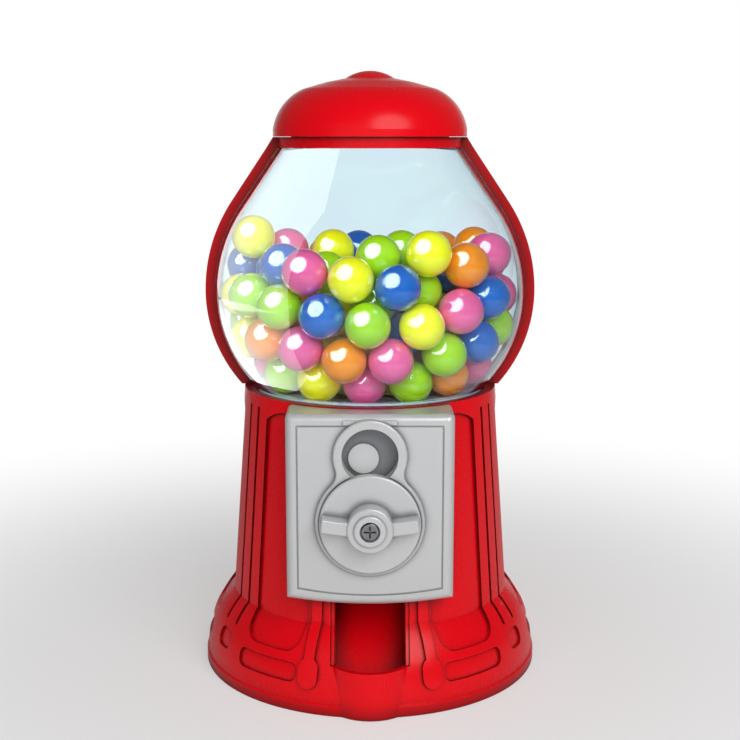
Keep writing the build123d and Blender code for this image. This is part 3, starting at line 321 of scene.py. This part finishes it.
class Wire:
    """An output of a node; sums, differences and products of wires add Math nodes."""

    def __init__(self, shading, socket):
        self.shading = shading
        self.socket = socket

    def maths(self, operation, first, second):
        """Sum, difference, product or greater of two numbers or wires."""
        return self.shading.add("ShaderNodeMath", {"operation": operation}, {0: first, 1: second})

    def __add__(self, other):
        return self.maths("ADD", self, other)

    def __sub__(self, other):
        return self.maths("SUBTRACT", self, other)

    def __rsub__(self, other):
        return self.maths("SUBTRACT", other, self)

    def __mul__(self, other):
        return self.maths("MULTIPLY", self, other)

    __radd__ = __add__
    __rmul__ = __mul__

    def most(self, other):
        """The greater of this wire and another."""
        return self.maths("MAXIMUM", self, other)

    def step(self, low, high):
        """Smooth rise from 0 to 1 as this wire goes from low to high."""
        return self.shading.add(
            "ShaderNodeMapRange", {"interpolation_type": "SMOOTHSTEP"},
            {"Value": self, "From Min": low, "From Max": high},
        )

    def twin(self, name):
        """Another output of the same node."""
        return Wire(self.shading, self.socket.node.outputs[name])


class Shading:
    """The nodes of one material, world or lamp."""

    def __init__(self, owner):
        owner.use_nodes = True
        self.owner = owner
        self.tree = owner.node_tree
        self.tree.nodes.clear()

    def add(self, kind, settings=None, values=None, output=0):
        """Add a node: its settings are set first, then its sockets get values or wires.

        What comes back is the wire of one output, or None where the output is None.
        """
        node = self.tree.nodes.new(kind)
        for name, value in (settings or {}).items():
            setattr(node, name, value)
        for name, value in (values or {}).items():
            socket = node.inputs[name]
            if isinstance(value, Wire):
                self.tree.links.new(value.socket, socket)
            elif hasattr(value, "__len__") and len(value) < len(socket.default_value):
                # A colour given without its alpha
                socket.default_value = (*value, 1.0)
            else:
                socket.default_value = value
        return None if output is None else Wire(self, node.outputs[output])

    def close(self, shader):
        """Link the finished shader to the output, and give back what it belongs to."""
        kind = self.owner.id_type.title()
        self.add("ShaderNodeOutput" + kind, {}, {"Surface": shader}, output=None)
        return self.owner

    def vector(self, operation, values, output="Vector"):
        """Maths on places and directions."""
        return self.add("ShaderNodeVectorMath", {"operation": operation}, values, output=output)

    def mix(self, factor, first, second):
        """Colour between two colours."""
        values = {MIX_FACTOR: factor, MIX_FIRST: first, MIX_SECOND: second}
        return self.add("ShaderNodeMix", {"data_type": "RGBA"}, values, output=MIX_RESULT)

    def place(self):
        """Where a point is in the machine's own frame, in metres."""
        return self.add("ShaderNodeTexCoord", output="Object")

    def drawn(self, scale, turn=(0.0, 0.0, 0.0)):
        """Places turned and drawn out, for streaks."""
        values = {"Vector": self.place(), "Scale": scale, "Rotation": turn}
        return self.add("ShaderNodeMapping", {}, values)

    def noise(self, size, detail=2.0, roughness=0.5, place=None):
        """Noise from 0 to 1 whose lumps are of about the given size."""
        where = place or self.place()
        values = {"Vector": where, "Scale": 1 / size, "Detail": detail, "Roughness": roughness}
        return self.add("ShaderNodeTexNoise", {}, values)

    def crease(self, reach):
        """1 deep in a crease, 0 out in the open, from the light the crease keeps out; used to paint shade
        into creases.
        """
        settings = {"samples": CREASE_SAMPLES}
        light = self.add("ShaderNodeAmbientOcclusion", settings, {"Distance": reach}, output="AO")
        return (1 - light).step(*CREASE_SHADE)

    def edge(self, width):
        """1 on a sharp edge, 0 on the flat."""
        rounded = self.add("ShaderNodeBevel", {"samples": EDGE_SAMPLES}, {"Radius": width})
        true = self.add("ShaderNodeNewGeometry", output="Normal")
        along = self.vector("DOT_PRODUCT", {0: rounded, 1: true}, output="Value")
        return (1 - along).step(*EDGE_TURN)

    def bump(self, height, depth, normal=None):
        """Bump from a height of 0 to 1 that stands for a real depth."""
        values = {"Height": height, "Strength": 1.0, "Distance": depth}
        if normal:
            values["Normal"] = normal
        return self.add("ShaderNodeBump", {}, values)

    def surface(self, **values):
        """Principled shader; the keys are its sockets' names with underscores."""
        named = {name.replace("_", " "): value for name, value in values.items()}
        return self.add("ShaderNodeBsdfPrincipled", {}, named)

    def seen(self):
        """1 for what looks at a thing straight, in a reflection or through a clear wall, else 0."""
        path = self.add("ShaderNodeLightPath", output="Is Camera Ray")
        return path.most(path.twin("Is Glossy Ray")).most(path.twin("Is Transmission Ray"))

    def mirrored(self):
        """1 for what is seen in a reflection, also where it then comes through a clear wall, else 0."""
        return self.add("ShaderNodeLightPath", output="Glossy Depth").step(0.0, 1.0)


def new_finish(name):
    """Empty shading of a new material."""
    return Shading(bpy.data.materials.new(name))


def lift(colour, share):
    """Colour brought a share of the way to white."""
    return tuple(part + (1 - part) * share for part in colour)


def sink(colour, share):
    """Colour brought a share of the way to black."""
    return tuple(part * (1 - share) for part in colour)


def gloss_moulding(name, colour, deep, sizes, outer=None, radius=0.0):
    """Glossy moulded plastic: painted shade in creases, slow ripple, fine scratches, rubbed edges.

    What lies past a radius from the machine's axis may be painted an outer colour; the hoop gets its
    darker painted shade this way.
    """
    finish = new_finish(name)
    cloud = finish.noise(GLOSS_CLOUD, detail=3.0)
    speck = finish.noise(GLOSS_SPECK, detail=4.0, roughness=0.6)
    # Painted shade masks from occlusion: a narrow crease and a wider, weaker band round it
    wide_crease = finish.crease(sizes.crease * WIDE_CREASE_REACH) * WIDE_CREASE_STRENGTH
    crease = finish.crease(sizes.crease).most(wide_crease)
    edge = finish.edge(sizes.edge) * speck.step(*GLOSS_RUBBED)
    hair = finish.noise(GLOSS_HAIR, place=finish.drawn(GLOSS_HAIR_STRETCH, GLOSS_HAIR_TURN))
    scratch = hair.step(*GLOSS_SCRATCH) * cloud.step(*GLOSS_SCRATCHED)
    base = colour
    # Painted shade: past the radius, the outer colour darkens the piece
    if outer:
        level = finish.vector("MULTIPLY", {0: finish.place(), 1: (1, 1, 0)})
        reach = finish.vector("LENGTH", {0: level}, output="Value")
        base = finish.mix(reach.step(radius, radius + MM), base, outer)
    # Painted shade: creases darkened towards the deep colour, with a random cloud of tone
    base = finish.mix((crease + (cloud - 0.5) * 0.12).most(0.0), base, deep)
    base = finish.mix(edge * 0.22, base, lift(colour, 0.15))
    rough = GLOSS_ROUGHNESS + (speck - 0.5) * 0.08 + scratch * 0.14 + edge * 0.12 + crease * 0.15
    normal = finish.bump(finish.noise(GLOSS_WAVE, detail=1.0), sizes.ripple)
    normal = finish.bump(speck, sizes.grain * 0.4, normal)
    return finish.close(
        finish.surface(
            Base_Color=base, Roughness=rough, Normal=normal, IOR=1.3,
            Coat_Weight=0.04, Coat_Roughness=0.06,
        )
    )


def silver_lacquer(name, colour, deep, sizes):
    """Silver lacquer over plastic: fine metal flakes, painted shade in creases, bright rubbed edges."""
    finish = new_finish(name)
    cloud = finish.noise(LACQUER_CLOUD, detail=3.0)
    values = {"Vector": finish.place(), "Scale": 1 / LACQUER_FLAKE}
    flake = finish.add("ShaderNodeTexVoronoi", {}, values, output="Color")
    glint = finish.add("ShaderNodeSeparateColor", {}, {"Color": flake})
    crease = finish.crease(sizes.crease * 0.8)
    speck = finish.noise(LACQUER_SPECK, detail=4.0)
    edge = finish.edge(sizes.edge) * speck.step(*LACQUER_RUBBED)
    # Painted shade: creases darkened towards the deep colour, with a random cloud of tone
    base = finish.mix((crease * 0.9 + (cloud - 0.5) * 0.12).most(0.0), colour, deep)
    base = finish.mix(glint * 0.2, base, sink(colour, 0.25))
    base = finish.mix(edge * 0.4, base, lift(colour, 0.4))
    rough = LACQUER_ROUGHNESS + (glint - 0.5) * 0.1 + (cloud - 0.5) * 0.1 - edge * 0.1
    normal = finish.bump(glint, sizes.grain * 0.5)
    normal = finish.bump(finish.noise(LACQUER_WAVE, detail=1.0), sizes.ripple * 0.5, normal)
    return finish.close(
        finish.surface(
            Base_Color=base, Roughness=rough, Metallic=LACQUER_METAL, Normal=normal,
            Coat_Weight=0.15, Coat_Roughness=0.15,
        )
    )


def matte_moulding(name, colour, sizes, roughness=0.5, grain=1.0, cap=None):
    """Matt moulded plastic with a fine spark grain.

    A cap is a round part of another colour: its place across and up, its radius and its colour.
    """
    finish = new_finish(name)
    cloud = finish.noise(MATTE_CLOUD, detail=3.0)
    pit = finish.noise(MATTE_PIT, detail=3.0, roughness=0.6)
    crease = finish.crease(sizes.crease)
    edge = finish.edge(sizes.edge)
    base = colour
    if cap:
        across, height, radius, cap_colour = cap
        base = finish.mix(round_cap(finish, across, height, radius), base, cap_colour)
    # Painted shade: creases darkened, with a random cloud of tone
    base = finish.mix((crease * 0.6 + (cloud - 0.5) * 0.25).most(0.0), base, sink(colour, 0.55))
    base = finish.mix(edge * 0.35, base, lift(colour, 0.25))
    rough = roughness + (pit - 0.5) * 0.14 + (cloud - 0.5) * 0.08 - edge * 0.1
    normal = finish.bump(pit, sizes.grain * 1.5 * grain)
    return finish.close(finish.surface(Base_Color=base, Roughness=rough, Normal=normal))


def round_cap(finish, across, height, radius):
    """1 inside a circle seen from the front, 0 outside it."""
    place = finish.add("ShaderNodeSeparateXYZ", {}, {"Vector": finish.place()})
    side = place - across
    rise = place.twin("Z") - height
    inner, outer = ((radius * share) ** 2 for share in BUTTON_RIM)
    return 1 - (side * side + rise * rise).step(inner, outer)


def clear_plastic(name, tint, sizes):
    """Clear moulded plastic: a pale tint, hairline scratches and finger haze; light passes through it."""
    finish = new_finish(name)
    haze = finish.noise(CLEAR_HAZE, detail=4.0)
    hair = finish.noise(CLEAR_HAIR, place=finish.drawn(CLEAR_HAIR_STRETCH, CLEAR_HAIR_TURN))
    scratch = hair.step(*CLEAR_SCRATCH) * haze.step(*CLEAR_SCRATCHED)
    rough = CLEAR_ROUGHNESS + haze.step(*CLEAR_HAZED) * 0.03 + scratch * 0.2
    normal = finish.bump(finish.noise(CLEAR_WAVE, detail=1.0), sizes.ripple * 0.5)
    glass = finish.surface(
        Base_Color=tint, Roughness=rough, Normal=normal, IOR=1.4, Transmission_Weight=1.0
    )
    through = finish.add("ShaderNodeBsdfTransparent", {}, {"Color": tuple(part ** 0.5 for part in tint)})
    path = finish.add("ShaderNodeLightPath", output="Is Shadow Ray")
    passing = path.most(path.twin("Is Diffuse Ray"))
    return finish.close(finish.add("ShaderNodeMixShader", {}, {0: passing, 1: glass, 2: through}))


def sugar_shell(name, colour, sizes):
    """Polished sugar shell of a gumball: mottled colour, tiny pits, each ball a little different."""
    finish = new_finish(name)
    ball = finish.add("ShaderNodeNewGeometry", output="Random Per Island")
    cloud = finish.noise(SUGAR_CLOUD, detail=3.0)
    speck = finish.noise(SUGAR_SPECK, detail=3.0, roughness=0.65)
    darker = (cloud.step(*SUGAR_MOTTLED) * 0.4 + (ball - 0.5) * 0.16).most(0.0)
    base = finish.mix(darker, colour, sink(colour, 0.3))
    base = finish.mix(speck.step(*SUGAR_SPECKLED) * 0.2, base, lift(colour, 0.12))
    rough = SUGAR_ROUGHNESS + (speck - 0.5) * 0.1 + cloud.step(*SUGAR_DULL) * 0.05
    normal = finish.bump(finish.noise(SUGAR_DENT, detail=2.0), SUGAR_DENT_DEPTH)
    normal = finish.bump(speck, sizes.grain, normal)
    return finish.close(
        finish.surface(
            Base_Color=base, Roughness=rough, Normal=normal, IOR=1.55,
            Coat_Weight=1.0, Coat_Roughness=0.04,
            Subsurface_Weight=0.08, Subsurface_Scale=SUGAR_LIGHT_DEPTH,
        )
    )


def plated_steel(name, sizes, colour=STEEL):
    """Zinc-plated steel: fine turning lines, small dull spots, painted shade in the recess."""
    finish = new_finish(name)
    line = finish.noise(STEEL_LINE, detail=3.0, place=finish.drawn(STEEL_LINE_STRETCH))
    spot = finish.noise(STEEL_SPOT, detail=4.0)
    base = finish.mix(spot.step(*STEEL_SPOTTED) * 0.5, colour, sink(colour, 0.3))
    # Painted shade: recesses such as the screw's cross darkened
    base = finish.mix(finish.crease(sizes.crease * 0.4), base, sink(colour, 0.8))
    rough = STEEL_ROUGHNESS + (line - 0.5) * 0.18 + spot.step(*STEEL_SPOTTED) * 0.15
    normal = finish.bump(line, sizes.grain * 0.6)
    return finish.close(finish.surface(Base_Color=base, Roughness=rough, Metallic=1.0, Normal=normal))


def seal_rubber(name, sizes):
    """Black seal ring with a dusty bloom."""
    finish = new_finish(name)
    bloom = finish.noise(RUBBER_BLOOM, detail=4.0)
    base = finish.mix(bloom.step(*RUBBER_BLOOMED) * 0.5, RUBBER, RUBBER_DUST)
    rough = RUBBER_ROUGHNESS + (bloom - 0.5) * 0.2
    normal = finish.bump(finish.noise(RUBBER_GRAIN), sizes.grain)
    return finish.close(finish.surface(Base_Color=base, Roughness=rough, Normal=normal))


def dress(material, *nodes):
    """Give CAD nodes their material."""
    for node in nodes:
        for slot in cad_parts[node].material_slots:
            slot.material = material


class BodyOperator(bpy.types.Operator):
    """Glossy red finish of the body, trough and lid, with painted shade in the creases and on the hoop"""

    bl_idname = "gumball.body"
    bl_label = "Red mouldings"

    def execute(self, context):
        colours = context.scene.gumball_plastics
        sizes = context.scene.gumball_surfaces
        red = tuple(colours.red)
        # Painted shade colour for the creases
        deep = tuple(colours.deep_red)
        dress(gloss_moulding("red_gloss_plastic", red, deep, sizes), "body_shell", "lid", "ball_chute")
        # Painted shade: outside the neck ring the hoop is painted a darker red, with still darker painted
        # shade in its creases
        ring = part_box("lid")[1].x - RING_INSET
        hoop = tuple(colours.hoop_red)
        darker = sink(deep, DARKER_CREASE)
        dress(gloss_moulding("hoop_plastic", red, darker, sizes, hoop, ring), "globe_frame")
        return {"FINISHED"}


class GlobeOperator(bpy.types.Operator):
    """Clear shells of the globe, its white floor and the lid's seal"""

    bl_idname = "gumball.globe"
    bl_label = "Globe"

    def execute(self, context):
        colours = context.scene.gumball_plastics
        sizes = context.scene.gumball_surfaces
        dress(clear_plastic("clear_globe_plastic", tuple(colours.clear), sizes), *GLOBE)
        dress(matte_moulding("white_floor_plastic", tuple(colours.white), sizes, roughness=0.4), "hopper")
        dress(seal_rubber("seal_rubber", sizes), "lid_seal")
        return {"FINISHED"}


class GumballsOperator(bpy.types.Operator):
    """Sugar shells of the gumballs, one material for each colour"""

    bl_idname = "gumball.gumballs"
    bl_label = "Gumballs"

    def execute(self, context):
        colours = context.scene.gumball_gums
        sizes = context.scene.gumball_surfaces
        for node in GUMBALLS:
            name = node.split("_")[1]
            dress(sugar_shell("sugar_shell_" + name, tuple(getattr(colours, name)), sizes), node)
        return {"FINISHED"}


class FrontOperator(bpy.types.Operator):
    """Silver front panel and lever, with the grey coin stop"""

    bl_idname = "gumball.front"
    bl_label = "Front panel and lever"

    def execute(self, context):
        colours = context.scene.gumball_plastics
        sizes = context.scene.gumball_surfaces
        silver = tuple(colours.silver)
        shaded = tuple(colours.silver_shade)
        # Painted shade in the lacquer's creases, darker than the coin stop's grey
        lacquer = silver_lacquer("silver_lacquer", silver, sink(shaded, DARKER_CREASE), sizes)
        dress(lacquer, "front_panel", "lever_knob")
        low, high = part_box("coin_stop")
        middle = (low.z + high.z) / 2
        cap = (-BUTTON_SHIFT, middle - BUTTON_SHIFT, BUTTON_RADIUS, silver)
        dress(matte_moulding("grey_stop_plastic", shaded, sizes, roughness=0.42, cap=cap), "coin_stop")
        dress(plated_steel("screw_steel", sizes, DARK_STEEL), "lever_screw")
        return {"FINISHED"}


class MechanismOperator(bpy.types.Operator):
    """Wheels, bushes, frame, shaft and screws of the mechanism"""

    bl_idname = "gumball.mechanism"
    bl_label = "Mechanism"

    def execute(self, context):
        colours = context.scene.gumball_plastics
        sizes = context.scene.gumball_surfaces
        ivory = tuple(colours.ivory)
        bearing = matte_moulding("ivory_bearing_plastic", ivory, sizes, roughness=0.34, grain=0.5)
        dress(bearing, "gum_wheel", "coin_carrier", "click_wheel", "front_bush", "rear_bush")
        grey = tuple(colours.grey)
        dress(matte_moulding("grey_frame_plastic", grey, sizes), "mechanism_frame", "coin_ramp")
        steel = plated_steel("plated_steel", sizes)
        dress(steel, "lever_shaft", "shaft_clip", "click_spring", "mechanism_screws")
        return {"FINISHED"}


class BaseOperator(bpy.types.Operator):
    """Black base plate and bank plug, with the plated screws"""

    bl_idname = "gumball.base"
    bl_label = "Base"

    def execute(self, context):
        colours = context.scene.gumball_plastics
        sizes = context.scene.gumball_surfaces
        black = tuple(colours.black)
        base = matte_moulding("black_base_plastic", black, sizes, roughness=0.55, grain=1.5)
        dress(base, "base_plate", "bank_plug")
        dress(plated_steel("base_screw_steel", sizes), "base_screws")
        return {"FINISHED"}


def lamp(name, place, turn, size, level, reach, round_face=False, unseen=()):
    """Area lamp that only reaches the given objects; unseen names what its face stays hidden from."""
    width, height = size
    data = bpy.data.lights.new(name, "AREA")
    data.shape = "ELLIPSE" if round_face else "RECTANGLE"
    data.size = width
    data.size_y = height
    face = width * height * (math.pi / 4 if round_face else 1)
    # Power that gives the face this brightness
    data.energy = level * math.pi * face
    thing = bpy.data.objects.new(name, data)
    bpy.context.scene.collection.objects.link(thing)
    thing.location = place
    thing.rotation_mode = "QUATERNION"
    thing.rotation_quaternion = turn
    for kind in unseen:
        setattr(thing, "visible_" + kind, False)
    group = bpy.data.collections.new(name + "_reach")
    for piece in reach:
        group.objects.link(piece)
    thing.light_linking.receiver_collection = group
    return thing


def facing(way):
    """Turn of a lamp that shines along a way."""
    return Vector(way).to_track_quat("-Z", "Y")


def shine_through_walls(thing):
    """Light that shows only on a way in through the globe's wall and out again, so on the gumballs."""
    glow = Shading(thing.data)
    faces = glow.add("ShaderNodeLightPath", output="Transmission Depth")
    glow.close(glow.add("ShaderNodeEmission", {}, {"Strength": faces.step(*FACES_PASSED)}))


def dim_to_the_back(thing):
    """Light that fades along a lamp's face towards the back of the room."""
    glow = Shading(thing.data)
    place = glow.add("ShaderNodeNewGeometry", output="Position")
    back = glow.add("ShaderNodeSeparateXYZ", {}, {"Vector": place}, output="Y").step(*WINDOW_FADE)
    glow.close(glow.add("ShaderNodeEmission", {}, {"Strength": 1 - back * WINDOW_FADE_SHARE}))


def add_lamps(sizes, floor):
    """Key, fill, back, globe and foot lamps, with the lamps that only gloss and clear walls show."""
    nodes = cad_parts
    globe = [nodes[name] for name in GLOBE]
    rest = [thing for thing in nodes.values() if thing not in globe]
    balls = [nodes[name] for name in (*GUMBALLS, "hopper")]
    underside = [nodes[name] for name in UNDERSIDE]
    sparkle_hidden = ("camera", "diffuse", "glossy")
    window_hidden = ("camera", "diffuse", "transmission")
    made = {}
    for name, place, size, level, reach, round_face, hidden in (
        ("key_lamp", KEY_PLACE, KEY_SIZE, sizes.key_level, rest + [floor], True, ()),
        ("fill_lamp", FILL_PLACE, FILL_SIZE, sizes.fill_level, rest + [floor], False, ("glossy",)),
        ("back_lamp", BACK_PLACE, BACK_SIZE, sizes.back_level, rest, False, ("camera", "glossy")),
        ("globe_lamp", GLOBE_LAMP_PLACE, GLOBE_LAMP_SIZE, sizes.globe_level, balls, True, ()),
        ("foot_lamp", FOOT_LAMP_PLACE, FOOT_LAMP_SIZE, sizes.foot_level, underside, True, ("camera",)),
        ("sparkle_lamp", SPARKLE_PLACE, SPARKLE_SIZE, sizes.sparkle_level, globe, True, sparkle_hidden),
    ):
        turn = facing(MIDDLE - Vector(place))
        made[name] = lamp(name, place, turn, size, level, reach, round_face, hidden)
    shine_through_walls(made["sparkle_lamp"])
    blockers = bpy.data.collections.new("foot_lamp_blockers")
    for thing in underside:
        blockers.objects.link(thing)
    made["foot_lamp"].light_linking.blocker_collection = blockers
    wide, tall = WINDOW_SIZE
    place = (-WINDOW_AWAY, wide / 2 - WINDOW_FRONT, tall / 2)
    turn = facing((1, 0, 0))
    level = sizes.window_level
    dim_to_the_back(lamp("window_lamp", place, turn, WINDOW_SIZE, level, globe, unseen=window_hidden))
    deep, long = PANE_SIZE
    place = Vector((-(PANE_INSET + deep / 2), long / 2, PANE_RISE))
    place.rotate(Euler((0, 0, PANE_TURN)))
    turn = Euler((math.pi, 0, PANE_TURN)).to_quaternion()
    dim_to_the_back(lamp("window_foot", place, turn, PANE_SIZE, level, globe, unseen=window_hidden))


def floor_material(fade):
    """Pale floor that turns as white as the background further out, for what looks at it.

    From below it is clear, so that the underside can be seen.
    """
    finish = new_finish("pale_floor")
    away = finish.vector("LENGTH", {0: finish.place()}, output="Value")
    tone = finish.mix(finish.noise(FLOOR_CLOUD, detail=3.0), *FLOOR_TONES)
    pale = finish.surface(Base_Color=tone, Roughness=FLOOR_ROUGHNESS)
    white = finish.add("ShaderNodeEmission", {}, {"Color": WHITE, "Strength": 1.0})
    way = finish.vector("NORMALIZE", {0: finish.place()})
    behind = finish.add("ShaderNodeSeparateXYZ", {}, {"Vector": way}, output="Y").step(*BACKGROUND)
    whiteness = away.step(fade * FLOOR_FADE_START, fade) * (1 - FLOOR_WHITE) + FLOOR_WHITE
    factor = whiteness * finish.seen()
    factor = factor * (1 - finish.mirrored() * (1 - behind)) * away.step(*FOOT_EDGE)
    top = finish.add("ShaderNodeMixShader", {}, {0: factor, 1: pale, 2: white})
    clear = finish.add("ShaderNodeBsdfTransparent")
    below = finish.add("ShaderNodeNewGeometry", output="Backfacing")
    return finish.close(finish.add("ShaderNodeMixShader", {}, {0: below, 1: top, 2: clear}))


def white_room(sky, dark_side):
    """White to what looks at it, with a plain soft light; gloss shows it dimmer but for the background."""
    room = Shading(bpy.data.worlds.new("white_room"))
    around = room.add("ShaderNodeTexCoord", output="Generated")
    way = room.add("ShaderNodeSeparateXYZ", {}, {"Vector": around})
    background = way.twin("Y").step(*BACKGROUND) * (1 - way.twin("Z").step(*BACKGROUND_TOP))
    gloss = 1 - room.mirrored() * (1 - background) * (1 - dark_side)
    light = room.add("ShaderNodeBackground", {}, {"Color": WHITE, "Strength": sky})
    white = room.add("ShaderNodeBackground", {}, {"Color": WHITE, "Strength": gloss})
    return room.close(room.add("ShaderNodeMixShader", {}, {0: room.seen(), 1: light, 2: white}))


class StageOperator(bpy.types.Operator):
    """Floor, lamps, background and camera"""

    bl_idname = "gumball.stage"
    bl_label = "Stage"

    def execute(self, context):
        scene = context.scene
        sizes = scene.gumball_stage
        scene.view_settings.view_transform = "Standard"
        mesh = bpy.data.meshes.new("floor")
        shape = bmesh.new()
        bmesh.ops.create_circle(shape, cap_ends=True, segments=FLOOR_SIDES, radius=sizes.floor_radius)
        shape.to_mesh(mesh)
        shape.free()
        floor = bpy.data.objects.new("floor", mesh)
        floor.location.z = -FLOOR_DROP
        scene.collection.objects.link(floor)
        floor.data.materials.append(floor_material(sizes.floor_fade))
        scene.world = white_room(sizes.sky, sizes.dark_side)
        add_lamps(sizes, floor)
        data = bpy.data.cameras.new("camera")
        data.lens = sizes.lens
        camera = bpy.data.objects.new("camera", data)
        scene.collection.objects.link(camera)
        camera.location = (0, -sizes.camera_distance, sizes.camera_height)
        camera.rotation_euler = (math.pi / 2 - sizes.camera_tilt, 0, 0)
        scene.camera = camera
        return {"FINISHED"}


class GumballPanel(bpy.types.Panel):
    """Settings and steps of the gumball machine's looks"""

    bl_idname = "VIEW3D_PT_gumball"
    bl_label = "Gumball machine"
    bl_space_type = "VIEW_3D"
    bl_region_type = "UI"
    bl_category = "Gumball machine"

    def draw(self, context):
        for step in STEPS:
            self.layout.operator(step.bl_idname)
        for name in GROUPS:
            group = getattr(context.scene, name)
            box = self.layout.box()
            for value in group.bl_rna.properties.keys():
                if value not in ("rna_type", "name"):
                    box.prop(group, value)


GROUPS = {
    "gumball_plastics": PlasticColours,
    "gumball_gums": GumColours,
    "gumball_surfaces": SurfaceSizes,
    "gumball_stage": StageSizes,
}
STEPS = (
    BodyOperator, GlobeOperator, GumballsOperator, FrontOperator,
    MechanismOperator, BaseOperator, StageOperator,
)


def register():
    """Add the settings, steps and panel to Blender."""
    for item in (*GROUPS.values(), *STEPS, GumballPanel):
        bpy.utils.register_class(item)
    for name, group in GROUPS.items():
        setattr(bpy.types.Scene, name, PointerProperty(type=group))


def unregister():
    """Take the settings, steps and panel out of Blender."""
    for name in GROUPS:
        delattr(bpy.types.Scene, name)
    for item in reversed((*GROUPS.values(), *STEPS, GumballPanel)):
        bpy.utils.unregister_class(item)


def main():
    """Run every step in order."""
    register()
    for step in STEPS:
        group, name = step.bl_idname.split(".")
        getattr(getattr(bpy.ops, group), name)()


if __name__ == "__main__":
    main()
